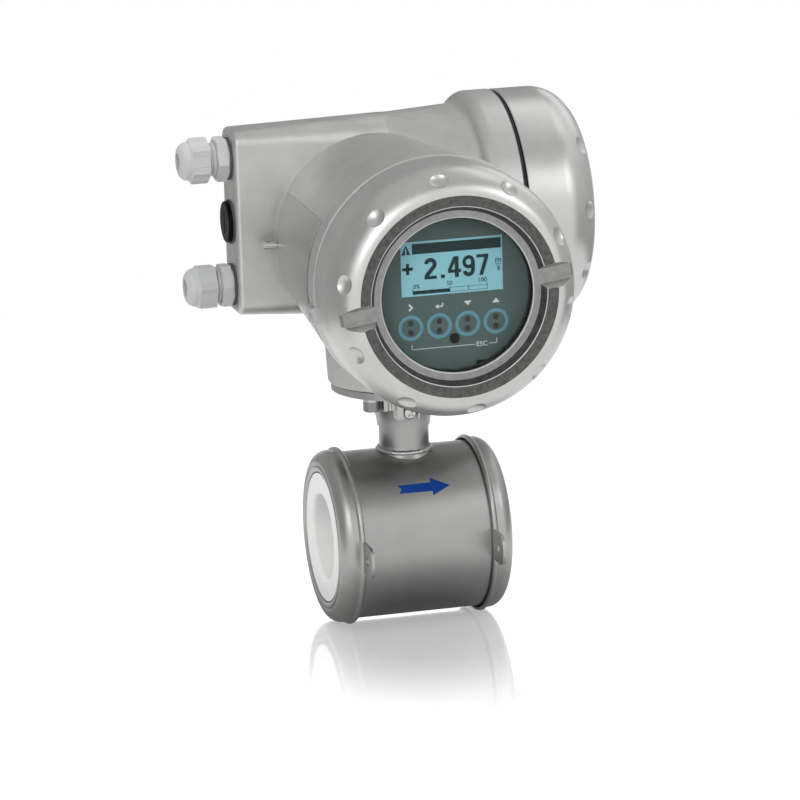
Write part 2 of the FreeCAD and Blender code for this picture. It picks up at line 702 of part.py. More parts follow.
def lock_boss():
    """Raised pad on the collar that takes the cover lock screw."""
    pad = block(9.0, 10.0, COLLAR_H - COLLAR_LENGTH - 4, COLLAR_H - 0.2, COLLAR_R - 2.6)
    return on_display(spun(pad, LOCK_ANGLE))


def rounded_box():
    """Terminal box with its left end eased, as cast."""
    box = box_loft(BOX_LEFT_X, 0.0, BOX_ROUND_R)
    rim = [edge for edge in box.Edges if all(abs(v.X - BOX_LEFT_X) < 1e-4 for v in edge.Vertexes)]
    return box.makeFillet(BOX_EDGE_R, rim)


def converter_housing():
    """Cast head: front drum, terminal box with flared rim and base socket in one piece."""
    outer = drum_outer().fuse([rounded_box(), rear_flare(), base_socket(), lock_boss()])
    housing = outer.cut(drum_chamber()).cut(rear_chamber())
    housing = housing.cut(disc(NECK_R - NECK_WALL, SOCKET_Z - 1, HEAD_Z))
    for x, y in flange_hole_places():
        housing = housing.cut(disc(FLANGE_SCREW_SIZE / 2, SOCKET_Z - 1, SOCKET_Z + 10.5, x, y))
    for step in (1, 0, -1):
        housing = housing.cut(on_entry(disc(ENTRY_BORE_R, -BOX_WALL - 8, 5), step))
    housing = housing.cut(on_display(disc(FEED_R, -REAR_Y, CHAMBER_REAR_H + 5, FEED_X, FEED_RISE)))
    for x, y in can_screw_places():
        housing = housing.cut(on_display(disc(1.6, CHAMBER_REAR_H - 3.0, CHAMBER_REAR_H + 1, x, y)))
    for angle in CARRIER_SCREW_ANGLES:
        hole = disc(1.6, REAR_LEDGE_X - 6, REAR_LEDGE_X + 1, CARRIER_SCREW_R)
        housing = housing.cut(on_rear(spun(hole, angle)))
    lock_hole = disc(LOCK_SCREW_R, CHAMBER_R - 1, COLLAR_R + 6)
    return housing.cut(on_display(spun(radial(lock_hole, COLLAR_H - 7.0), LOCK_ANGLE)))


def radial(shape, height):
    """Lay a local z form along local x at a height on the axis."""
    return placed(shape, V(0, 0, height), V(0, 1, 0), V(0, 0, 1))


def cover_lock_screw():
    screw = disc(LOCK_SCREW_R - 0.05, CHAMBER_R + 1.2, COLLAR_R + 1.6)
    screw = screw.cut(hexagon(2.0, COLLAR_R, COLLAR_R + 3))
    return on_display(spun(radial(screw, COLLAR_H - 7.0), LOCK_ANGLE))


def wire_bushing():
    """Flanged bushing for the wires between the two chambers."""
    flange = ring(WIRE_HOLE_R, FEED_R + 3, CHAMBER_REAR_H, CHAMBER_REAR_H + 2.0)
    sleeve = ring(WIRE_HOLE_R, FEED_R - 0.1, CHAMBER_REAR_H - 2 * FEED_R, CHAMBER_REAR_H + 1.0)
    bushing = joined([flange, sleeve])
    bushing.translate(V(FEED_X, FEED_RISE, 0))
    return on_display(bushing)


def type_plate():
    """Bare curved plate along the left side of the drum."""
    skin = drum_cone(PLATE_BED + PLATE_THICK).cut(drum_cone(PLATE_BED))
    reach = COLLAR_R + 5
    top = math.radians(180 - PLATE_TOP_ANGLE)
    bottom = math.radians(180 - PLATE_BOTTOM_ANGLE)
    corners = [V(0, 0, PLATE_REAR_H), V(-reach, -reach * math.tan(top), PLATE_REAR_H),
               V(-reach, -reach * math.tan(bottom), PLATE_REAR_H), V(0, 0, PLATE_REAR_H)]
    wedge = Part.Face(Part.makePolygon(corners)).extrude(V(0, 0, PLATE_FRONT_H - PLATE_REAR_H))
    return on_display(skin.common(wedge))


def seal_eyelet():
    """Short pin with a cross hole for a sealing wire, on the plate's rear edge."""
    slope = (DRUM_FRONT_R - DRUM_REAR_R) / (COLLAR_H - COLLAR_LENGTH - 5.0 - DRUM_REAR_H)
    height = PLATE_REAR_H + EYELET_R + 0.8
    root = DRUM_REAR_R + slope * (height + EYELET_R - DRUM_REAR_H) + PLATE_BED + PLATE_THICK + 0.1
    pin = disc(EYELET_R, root, root + EYELET_LENGTH)
    pin = pin.cut(Part.makeCylinder(EYELET_R * 0.5, 10, V(-5, 0, root + EYELET_LENGTH - 2.6), V(1, 0, 0)))
    return on_display(spun(radial(pin, height), EYELET_ANGLE))


# Covers
def thread_outline(outer, start, end, direction):
    """Corners of a ridged spigot from start to end, as (radius, height) pairs."""
    count = max(int(abs(end - start) / THREAD_PITCH), 1)
    corners = []
    for i in range(count):
        base = start + direction * THREAD_PITCH * i
        corners.append((outer, base))
        corners.append((outer, base + direction * THREAD_PITCH * 0.45))
        corners.append((outer - THREAD_DEPTH, base + direction * THREAD_PITCH * 0.7))
    return corners


def dimple(radius, height, lean):
    """Ball that cuts one finger dimple whose middle is at (radius, height), leaning outwards."""
    ball_r = ((DIMPLE_SPAN / 2) ** 2 + DIMPLE_DEPTH ** 2) / (2 * DIMPLE_DEPTH)
    rise = ball_r - DIMPLE_DEPTH
    x = radius + rise * math.cos(math.radians(lean))
    z = height + rise * math.sin(math.radians(lean))
    return Part.makeSphere(ball_r, V(x, 0, z))


def tool_slot(floor, inner, outer, top):
    """Drafted slot for the cover key, along local x from the inner to the outer radius."""
    half = SLOT_WIDTH / 2
    points = [V(inner, -half, floor), V(inner, half, floor), V(inner, half + SLOT_DRAFT, top),
              V(inner, -half - SLOT_DRAFT, top), V(inner, -half, floor)]
    return Part.Face(Part.makePolygon(points)).extrude(V(outer - inner, 0, 0))


def ring_of(shape, start, count=DIMPLE_COUNT):
    return [spun(shape, start + 360.0 / count * i) for i in range(count)]


def cover_blank():
    """Front cover as turned: threaded spigot, skirt, round shoulder, dished band and window ledge."""
    spigot_r = CHAMBER_R - SPIGOT_CLEARANCE
    inner_r = spigot_r - COVER_WALL + 1.0
    pocket_end = GLASS_H - GLASS_THICK - RETAINER_THICK
    threads = thread_outline(spigot_r, COVER_H - 1.0, COVER_H - 1.0 - SPIGOT_LENGTH, -1)
    return turned([
        (inner_r, COVER_H - 1.0 - SPIGOT_LENGTH)] + list(reversed(threads)) + [
        (spigot_r - THREAD_DEPTH, COVER_H), (COVER_R - 0.7, COVER_H), (COVER_R, COVER_H + 0.7),
        (COVER_R, CREST_H - COVER_SHOULDER), ((COVER_R, CREST_H), (CREST_R, CREST_H), True),
        (((CREST_R + BAND_R) / 2, CREST_H - BAND_DROP * 1.8), (BAND_R, CREST_H - BAND_DROP)),
        (LEDGE_R, LEDGE_H), (WINDOW_R + 0.6, LEDGE_H), (WINDOW_R, LEDGE_H - 0.6),
        (WINDOW_R, GLASS_H), (GLASS_R + 0.3, GLASS_H), (GLASS_R + 0.3, pocket_end),
        (inner_r - 2.5, pocket_end), (inner_r, pocket_end - 2.5)])


def front_cover():
    cover = cover_blank()
    shoulder = (CREST_R, CREST_H - COVER_SHOULDER)
    middle = arc_middle(shoulder, COVER_R - CREST_R, COVER_SHOULDER, DIMPLE_PLACE)
    cover = cover.cut(ring_of(dimple(middle[0], middle[1], DIMPLE_LEAN), DIMPLE_START))
    slot = tool_slot(LEDGE_H, LEDGE_R - 2.5, COVER_R + 5, CREST_H + 0.01)
    return on_display(cover.cut([spun(slot, SLOT_ANGLE), spun(slot, SLOT_ANGLE + 180)]))


def window_glass():
    return on_display(disc(GLASS_R, GLASS_H - GLASS_THICK, GLASS_H))


def glass_retainer():
    """Threaded ring behind the window with two spanner notches."""
    rear = GLASS_H - GLASS_THICK
    hoop = ring(WINDOW_R + 0.2, GLASS_R + 0.2, rear - RETAINER_THICK, rear)
    notch = block(3.0, 3.0, rear - RETAINER_THICK - 1, rear - 1, WINDOW_R + 1.0)
    return on_display(hoop.cut([spun(notch, 90), spun(notch, 270)]))


def seal_ring(inner, outer, low, high):
    """Flat-sided sealing ring with rounded inner and outer edges."""
    ease = (high - low) / 2
    return turned([
        (inner + ease, low), (outer - ease, low), ((outer, (low + high) / 2), (outer - ease, high)),
        (inner + ease, high), ((inner, (low + high) / 2), (inner + ease, low))])


def cover_seal():
    return on_display(seal_ring(CHAMBER_R + 1.3, COLLAR_R - 1.2, COLLAR_H + 0.15, COVER_H - 0.15))


def rear_cap():
    """Blind cap of the terminal chamber, with the same dimples and key slots as the front cover."""
    spigot_r = REAR_BORE_R - SPIGOT_CLEARANCE
    inner_r = spigot_r - COVER_WALL
    spigot_end = CARRIER_X + 4.0
    threads = thread_outline(spigot_r, CAP_X - 0.5, spigot_end, -1)
    corner_x = CAP_END_X - CAP_SHOULDER
    face_r = CAP_R - CAP_SHOULDER
    middle = arc_middle((face_r, corner_x), CAP_SHOULDER, CAP_SHOULDER, 45)
    inner_corner = CAP_SHOULDER - COVER_WALL
    inner_middle = arc_middle((inner_r - inner_corner, corner_x), inner_corner, inner_corner, 45)
    cap = turned([
        (inner_r, spigot_end)] + list(reversed(threads)) + [
        (spigot_r - THREAD_DEPTH, CAP_X), (CAP_R - 0.8, CAP_X), (CAP_R, CAP_X + 0.8),
        (CAP_R, corner_x), (middle, (face_r, CAP_END_X)),
        (CAP_RECESS_R, CAP_END_X), (CAP_RECESS_R - 2, CAP_END_X - CAP_RECESS), (0, CAP_END_X - CAP_RECESS),
        (0, corner_x + inner_corner), (inner_r - inner_corner, corner_x + inner_corner),
        (inner_middle, (inner_r, corner_x))])
    cap = cap.cut(ring_of(dimple(middle[0], middle[1], 45), CAP_DIMPLE_START))
    slot = tool_slot(CAP_END_X - LEDGE_DROP * 0.8, CAP_SLOT_REACH, CAP_R + 5, CAP_END_X + 0.01)
    cap = cap.cut([spun(slot, CAP_SLOT_ANGLE), spun(slot, CAP_SLOT_ANGLE + 180)])
    return on_rear(cap)


def cap_seal():
    return on_rear(seal_ring(REAR_BORE_R + 1.4, RIM_R - 1.0, RIM_X + 0.3, CAP_X - 0.3))


# Display and electronics
def faceplate():
    """Round display cover with the screen opening, lens holes and three rear posts."""
    plate = disc(FACEPLATE_R, CAN_H, FACEPLATE_H)
    window = block(LCD_WIDTH + 0.2, LCD_HEIGHT + 0.2, CAN_H - 1, FACEPLATE_H + 1, 0, LCD_RISE)
    plate = plate.cut([window] + [disc(r, CAN_H - 1, FACEPLATE_H + 1, x, y) for x, y, r in lens_places()])
    posts = [spun(disc(POST_R, CAN_H - POST_LENGTH, CAN_H, CAN_R - POST_INSET), a) for a in POST_ANGLES]
    return on_display(joined([plate] + posts))


def lens_places():
    """Centre and radius of each optical lens on the faceplate."""
    places = []
    for i in range(4):
        x = (i - 1.5) * KEY_PITCH
        places.append((x, -KEY_DROP + KEY_LENS_SPACING / 2, KEY_LENS_R))
        places.append((x, -KEY_DROP - KEY_LENS_SPACING / 2, KEY_LENS_R))
    places.append((0.5, -SENSOR_LENS_DROP, SENSOR_LENS_R))
    return places


def key_lenses():
    lenses = [disc(r, CAN_H - POST_LENGTH, FACEPLATE_H, x, y) for x, y, r in lens_places()]
    return on_display(Part.makeCompound(lenses))


def lcd_panel():
    """Screen whose glass fills the opening, on a wider frame behind the faceplate."""
    front = block(LCD_WIDTH, LCD_HEIGHT, CAN_H - 1, FACEPLATE_H - 0.15, 0, LCD_RISE)
    wide = LCD_WIDTH + 2 * FRAME_EDGE
    high = LCD_HEIGHT + 2 * FRAME_EDGE
    frame = block(wide, high, CAN_H - POST_LENGTH, CAN_H, 0, LCD_RISE)
    return on_display(joined([front, frame]))


def display_board():
    rear = CAN_H - POST_LENGTH
    board = disc(CAN_R - 2 * CAN_WALL, rear - BOARD_THICK, rear)
    back = rear - BOARD_THICK
    chip = block(CHIP_WIDTH, CHIP_WIDTH, back - CHIP_HEIGHT, back, CAN_R * 0.15, -CAN_R * 0.1)
    plug = block(CONNECTOR_WIDTH, CONNECTOR_DEPTH, back - CONNECTOR_HEIGHT, back, -CAN_R * 0.1, CAN_R * 0.4)
    return on_display(Part.makeCompound([board, chip, plug]))


def can_screw_places():
    reach = CAN_R - CAN_SCREW_INSET
    return [(reach * math.cos(math.radians(a)), reach * math.sin(math.radians(a))) for a in CAN_SCREW_ANGLES]


def electronics_can():
    """Deep sheet cup that carries the boards, closed in front by the faceplate."""
    floor = CHAMBER_REAR_H + CAN_FLOOR
    wall = CAN_WALL
    can = turned([
        (0, CHAMBER_REAR_H), (CAN_R - 2, CHAMBER_REAR_H), (CAN_R, CHAMBER_REAR_H + 2), (CAN_R, CAN_H),
        (CAN_R - wall, CAN_H), (CAN_R - wall, floor), (0, floor)])
    holes = [disc(1.8, CHAMBER_REAR_H - 1, floor + 1, x, y) for x, y in can_screw_places()]
    window = disc(FEED_R + 4.5, CHAMBER_REAR_H - 1, floor + 1, FEED_X, FEED_RISE)
    return on_display(can.cut(holes + [window]))


def can_screws():
    screws = []
    for x, y in can_screw_places():
        screw = cap_screw(CAN_SCREW_SIZE, CAN_SCREW_LENGTH)
        screws.append(placed(screw, V(x, y, CHAMBER_REAR_H + CAN_FLOOR), V(1, 0, 0), V(0, -1, 0)))
    return on_display(Part.makeCompound(screws))


def long_board(rise, parts):
    """Board along the can with blocks on it: (x, z, width, length, height) in tenths of the can's radius."""
    low = CHAMBER_REAR_H + CAN_FLOOR * 1.5
    high = CAN_H - POST_LENGTH - CONNECTOR_HEIGHT - 5.0
    inside = disc(CAN_R - CAN_WALL, low, high)
    board = block(2 * CAN_R, BOARD_THICK, low, high, 0, rise).common(inside)
    solids = [board]
    side = 1 if rise > 0 else -1
    base = rise + side * BOARD_THICK / 2
    for part in parts:
        x, z, width, length, height = [share * CAN_R / 10 for share in part]
        solids.append(block(width, height, low + z, low + z + length, x, base + side * height / 2))
    return on_display(Part.makeCompound(solids))


def signal_board():
    parts = [(-3.3, 1.5, 2.9, 2.9, 0.5), (1.8, 2.2, 4.0, 4.0, 0.7), (-2.5, 7.3, 5.4, 1.5, 1.1),
             (3.3, 9.1, 2.2, 3.6, 1.5)]
    return long_board(SIGNAL_BOARD_RISE, parts)


def power_board():
    parts = [(2.5, 1.8, 4.7, 5.4, 3.6), (-2.9, 2.5, 2.5, 4.0, 2.5), (-1.8, 8.7, 3.3, 2.2, 1.8),
             (3.6, 9.4, 1.8, 2.5, 1.6)]
    return long_board(-POWER_BOARD_DROP, parts)


# Terminals
def terminal_carrier():
    """Moulded plate on the ledge of the terminal chamber, open above and below the terminals."""
    plate = disc(CARRIER_R, REAR_LEDGE_X, CARRIER_X)
    openings = []
    for side in (1, -1):
        rise = side * CARRIER_OPENING_RISE
        cut = block(2 * REAR_NECK_R, CARRIER_OPENING, REAR_LEDGE_X - 1, CARRIER_X + 1, 0, rise)
        openings.append(cut.common(disc(REAR_NECK_R - 5, REAR_LEDGE_X - 2, CARRIER_X + 2)))
    hole = disc(1.7, REAR_LEDGE_X - 1, CARRIER_X + 1, CARRIER_SCREW_R)
    holes = [spun(hole, angle) for angle in CARRIER_SCREW_ANGLES]
    return on_rear(plate.cut(openings + holes))


def carrier_screws():
    screws = []
    for angle in CARRIER_SCREW_ANGLES:
        screw = cap_screw(CARRIER_SCREW_SIZE, CARRIER_SCREW_LENGTH)
        screw = placed(screw, V(CARRIER_SCREW_R, 0, CARRIER_X), V(1, 0, 0), V(0, -1, 0))
        screws.append(spun(screw, angle))
    return on_rear(Part.makeCompound(screws))


def terminal_x(index):
    return (index - (TERMINAL_COUNT - 1) / 2) * TERMINAL_WIDTH / TERMINAL_COUNT


def terminal_block():
    """Row of screw terminals with wire mouths and screw pockets."""
    body = block(TERMINAL_WIDTH, TERMINAL_HEIGHT, CARRIER_X, CARRIER_X + TERMINAL_DEPTH)
    top = CARRIER_X + TERMINAL_DEPTH
    body = body.cut(block(TERMINAL_WIDTH + 2, 5.0, top - 4, top + 1, 0, TERMINAL_HEIGHT / 2))
    cuts = []
    for i in range(TERMINAL_COUNT):
        x = terminal_x(i)
        cuts.append(disc(2.3, top - 6, top + 1, x, -2.5))
        cuts.append(block(4.4, 7.0, CARRIER_X + 4.0, CARRIER_X + 8.5, x, -TERMINAL_HEIGHT / 2 + 2))
    return on_rear(body.cut(cuts))


def terminal_screws():
    low = CARRIER_X + TERMINAL_DEPTH - 6
    screws = []
    for i in range(TERMINAL_COUNT):
        screw = disc(2.0, low, low + 2.6, terminal_x(i), -2.5)
        screws.append(screw.cut(block(0.8, 6.0, low + 1.6, low + 4, terminal_x(i), -2.5)))
    return on_rear(Part.makeCompound(screws))


# Cable entries
def gland_washer():
    return ring(ENTRY_BORE_R, GLAND_FLANGE_R + 0.6, 0, GLAND_WASHER)


def gland_body():
    """Gland body: wall thread, round flange, hexagon and ridged nut thread with clamping bore."""
    hex_end = GLAND_HEX_START + GLAND_HEX_THICK
    core = turned([
        (GLAND_BORE_R, -9), (GLAND_THREAD_R, -9), (GLAND_THREAD_R, GLAND_WASHER),
        (GLAND_FLANGE_R, GLAND_WASHER), (GLAND_FLANGE_R, GLAND_HEX_START),
        (GLAND_THREAD_R - 0.4, GLAND_HEX_START + 0.1), (GLAND_THREAD_R - 0.4, hex_end),
        (GLAND_THREAD_R, hex_end + 0.8), (GLAND_THREAD_R, hex_end + 1.8),
        (GLAND_THREAD_R - 0.8, hex_end + 2.3), (GLAND_THREAD_R, hex_end + 2.8),
        (GLAND_THREAD_R, hex_end + 3.8), (GLAND_THREAD_R - 0.8, hex_end + 4.3),
        (GLAND_THREAD_R, hex_end + 4.8), (GLAND_THREAD_R, GLAND_TUBE_END), (GLAND_BORE_R, GLAND_TUBE_END)])
    grip = hexagon(GLAND_HEX, GLAND_HEX_START, hex_end).cut(disc(GLAND_THREAD_R - 1, 0, hex_end + 5))
    ease = turned([
        (0, GLAND_HEX_START - 1), (GLAND_HEX * 0.7, GLAND_HEX_START - 1), (GLAND_HEX * 0.7, hex_end - 2.2),
        (GLAND_HEX * 0.5 + 0.4, hex_end), (0, hex_end)])
    return joined([core, grip.common(ease)])


def dome_nut(start):
    """Domed gland nut with a chamfered hexagon, a round dome and a cable mouth."""
    hex_end = start + NUT_HEX_LENGTH
    end = start + NUT_LENGTH
    dome_r = GLAND_HEX / 2 - 0.5
    dome_start = hex_end + 0.5
    outer = turned([
        (NUT_BORE_R, start), (GLAND_HEX * 0.56, start), (GLAND_HEX * 0.58, start + 1.0),
        (GLAND_HEX * 0.58, hex_end - 1.2), (dome_r, dome_start),
        ((dome_r, end - 0.3), (NUT_MOUTH_R + 1.2, end - 0.3), True),
        (NUT_MOUTH_R + 0.6, end), (NUT_MOUTH_R, end), (NUT_MOUTH_R, end - 3.0), (NUT_BORE_R, end - 6.0)])
    envelope = hexagon(GLAND_HEX, start - 1, dome_start)
    dome_space = disc(dome_r, hex_end, end + 1)
    return outer.common(envelope.fuse(dome_space)).removeSplitter()


def seal_insert(start):
    """Rubber insert: sleeve in the gland bore with a flange on the tube end."""
    end = start + NUT_LENGTH
    return turned([
        (SEAL_HOLE_R, GLAND_TUBE_END - 9), (GLAND_BORE_R - 0.3, GLAND_TUBE_END - 9),
        (GLAND_BORE_R - 0.3, GLAND_TUBE_END), (NUT_BORE_R - 1.0, GLAND_TUBE_END),
        (NUT_BORE_R - 1.0, GLAND_TUBE_END + 2.5), (NUT_MOUTH_R - 0.6, end - 4.6),
        (NUT_MOUTH_R - 0.6, end - 1.8), (SEAL_HOLE_R, end - 1.8)])


def blind_plug():
    """Black closing plug: shallow domed head and wall thread."""
    top = PLUG_WASHER + PLUG_THICK
    head = turned([
        (0, PLUG_WASHER), (PLUG_R, PLUG_WASHER), (PLUG_R, top - 1.0),
        ((PLUG_R - 0.4, top - 0.25), (PLUG_R - 1.4, top)), (0, top)])
    slot = block(1.8, 14.0, top - 1.2, top + 1)
    return joined([head, disc(GLAND_THREAD_R, -8, PLUG_WASHER + 0.5)]).cut(slot)


def plug_washer():
    return ring(ENTRY_BORE_R, PLUG_R + 0.7, 0, PLUG_WASHER)


def sub_parts():
    """Every node of the assembly with its shape."""
    nodes = {
        "sensor_housing": sensor_housing(),
        "measuring_tube": measuring_tube(),
        "inlet_ring": inlet_ring(),
        "outlet_ring": outlet_ring(),
        "inlet_tube_seal": on_inlet(tube_seal_form()),
        "outlet_tube_seal": on_tube(tube_seal_form()),
        "upper_field_coil": field_coil(1),
        "lower_field_coil": field_coil(-1),
        "upper_pole_core": pole_core(1),
        "lower_pole_core": pole_core(-1),
        "magnet_yoke": magnet_yoke(),
        "electrodes": electrodes(),
        "neck_gasket": neck_gasket(),
        "flange_screws": flange_screws(),
        "spring_washers": spring_washers(),
        "earth_clamp": earth_clamp(),
        "earth_screw": earth_screw(),
        "converter_housing": converter_housing(),
        "cover_lock_screw": cover_lock_screw(),
        "wire_bushing": wire_bushing(),
        "type_plate": type_plate(),
        "seal_eyelet": seal_eyelet(),
        "front_cover": front_cover(),
        "window_glass": window_glass(),
        "glass_retainer": glass_retainer(),
        "cover_seal": cover_seal(),
        "faceplate": faceplate(),
        "key_lenses": key_lenses(),
        "lcd_panel": lcd_panel(),
        "display_board": display_board(),
        "electronics_can": electronics_can(),
        "can_screws": can_screws(),
        "signal_board": signal_board(),
        "power_board": power_board(),
        "rear_cap": rear_cap(),
        "cap_seal": cap_seal(),
        "terminal_carrier": terminal_carrier(),
        "carrier_screws": carrier_screws(),
        "terminal_block": terminal_block(),
        "terminal_screws": terminal_screws(),
        "blind_plug": on_entry(blind_plug(), 0),
        "plug_washer": on_entry(plug_washer(), 0),
    }
    for name, step in (("upper", 1), ("lower", -1)):
        nodes[name + "_gland_washer"] = on_entry(gland_washer(), step)
        nodes[name + "_gland_body"] = on_entry(spun(gland_body(), GLAND_TURN[step]), step)
        nodes[name + "_dome_nut"] = on_entry(spun(dome_nut(NUT_START[step]), NUT_TURN[step]), step)
        nodes[name + "_seal_insert"] = on_entry(seal_insert(NUT_START[step]), step)
    return nodes


def main():
    os.makedirs("parts", exist_ok=True)
    for name, shape in sub_parts().items():
        if not shape.isValid() or not shape.Solids:
            raise ValueError("bad shape: " + name)
        shape.exportStep("parts/" + name + ".step")
        print(name, len(shape.Solids), "solid(s)", round(shape.Volume / 1000, 2), "cm3")


main()
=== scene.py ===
"""Looks of a wafer-style electromagnetic flow meter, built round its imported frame."""

import json
import logging
import math
from dataclasses import dataclass
from enum import Enum
from typing import Callable, Iterable, Sequence

import bmesh
import bpy
from mathutils import Matrix, Vector

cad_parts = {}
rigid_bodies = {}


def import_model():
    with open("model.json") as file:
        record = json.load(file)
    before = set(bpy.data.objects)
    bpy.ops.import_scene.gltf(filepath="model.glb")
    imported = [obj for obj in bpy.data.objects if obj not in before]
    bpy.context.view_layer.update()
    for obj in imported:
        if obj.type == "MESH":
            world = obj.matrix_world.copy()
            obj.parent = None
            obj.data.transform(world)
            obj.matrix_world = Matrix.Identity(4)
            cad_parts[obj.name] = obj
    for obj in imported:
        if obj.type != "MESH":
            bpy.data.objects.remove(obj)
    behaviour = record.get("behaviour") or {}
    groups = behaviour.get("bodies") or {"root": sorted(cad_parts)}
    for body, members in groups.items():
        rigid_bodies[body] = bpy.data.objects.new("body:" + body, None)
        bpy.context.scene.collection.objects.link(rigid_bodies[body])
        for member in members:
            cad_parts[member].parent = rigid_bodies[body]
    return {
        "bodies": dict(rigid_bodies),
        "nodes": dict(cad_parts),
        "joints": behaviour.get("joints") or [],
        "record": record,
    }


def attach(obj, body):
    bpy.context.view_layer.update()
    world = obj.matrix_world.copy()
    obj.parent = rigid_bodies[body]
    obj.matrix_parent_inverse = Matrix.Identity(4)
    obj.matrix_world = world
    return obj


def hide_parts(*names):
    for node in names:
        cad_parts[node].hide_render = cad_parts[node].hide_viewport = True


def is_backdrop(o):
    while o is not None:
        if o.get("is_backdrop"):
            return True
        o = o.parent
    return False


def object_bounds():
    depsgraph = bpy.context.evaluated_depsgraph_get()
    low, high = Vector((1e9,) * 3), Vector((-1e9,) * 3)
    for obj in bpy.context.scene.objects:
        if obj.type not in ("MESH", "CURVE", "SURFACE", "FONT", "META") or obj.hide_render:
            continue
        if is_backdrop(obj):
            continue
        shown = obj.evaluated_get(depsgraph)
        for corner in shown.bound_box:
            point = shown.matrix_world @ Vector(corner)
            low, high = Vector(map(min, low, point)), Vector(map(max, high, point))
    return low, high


LOG = logging.getLogger("flow_meter")
MM = 0.001
METRE = 1000.0
HEAD_Z = 166.4
REAR_Y = 68.5
REAR_Z = 176.3
ENTRY_X = -84.2
ENTRY_Z = 179.4
ENTRY_PITCH = 38.0
THREAD_PITCH = 3.0
THREAD_DEPTH = 0.9
DIMPLE_SPAN = 11.3
DIMPLE_DEPTH = 2.1
DIMPLE_COUNT = 10
KEY_WIDTH = 8.3
GLOSS_SPAN = 0.05
COAT_ROUGHNESS = 0.08
WHITE = (1.0, 1.0, 1.0, 1.0)

Point = tuple[float, float]
Solid = tuple[list[Vector], list[tuple[int, ...]]]
Socket = bpy.types.NodeSocket
Inputs = dict[str | int, float | Sequence[float] | Socket]


def feed(target: bpy.types.Node, inputs: Inputs) -> bpy.types.Node:
    """Set or link the inputs of a node.

    Args:
        target: the node.
        inputs: a value to set or an output to link, by the input's name or place.

    Returns:
        The node.
    """
    for key, value in inputs.items():
        if isinstance(value, Socket):
            target.id_data.links.new(value, target.inputs[key])
        else:
            target.inputs[key].default_value = value
    return target


def node(tree: bpy.types.NodeTree, kind: str, inputs: Inputs, operation: str = "") -> bpy.types.Node:
    """Add a shader node.

    Args:
        tree: the nodes of the material or world.
        kind: the node's kind.
        inputs: what its inputs get.
        operation: the sum that a maths node does.

    Returns:
        The node.
    """
    made = tree.nodes.new("ShaderNode" + kind)
    if operation:
        made.operation = operation
    return feed(made, inputs)


def mixed(tree: bpy.types.NodeTree, share: Socket, first: Socket, second: Socket) -> Socket:
    """Mix two shaders by a share."""
    return node(tree, "MixShader", {0: share, 1: first, 2: second}).outputs["Shader"]


def ranged(tree: bpy.types.NodeTree, value: Socket, span: Point, ends: Point) -> Socket:
    """Run from the first end to the second while a value crosses its span."""
    return node(tree, "MapRange", {"Value": value, "From Min": span[0], "From Max": span[1],
                                   "To Min": ends[0], "To Max": ends[1]}).outputs["Result"]


def object_place(tree: bpy.types.NodeTree) -> Socket:
    """Give the place on the object, in metres."""
    return node(tree, "TexCoord", {}).outputs["Object"]


def node_material(name: str) -> bpy.types.Material:
    """Make a material with nodes.

    Args:
        name: the material's name.

    Returns:
        The material.
    """
    made = bpy.data.materials.new(name)
    made.use_nodes = True
    return made


class Grain(Enum):
    """How the fine relief of a finish lies."""

    BLASTED = (1.0, 1.0, 1.0)
    UPRIGHT = (1.0, 1.0, 0.1)
    ROUND_COIL = (1.0, 1.0, 0.02)


class Side(Enum):
    """Inlet or outlet end of the sensor, with the sign of its x."""

    INLET = -1
    OUTLET = 1


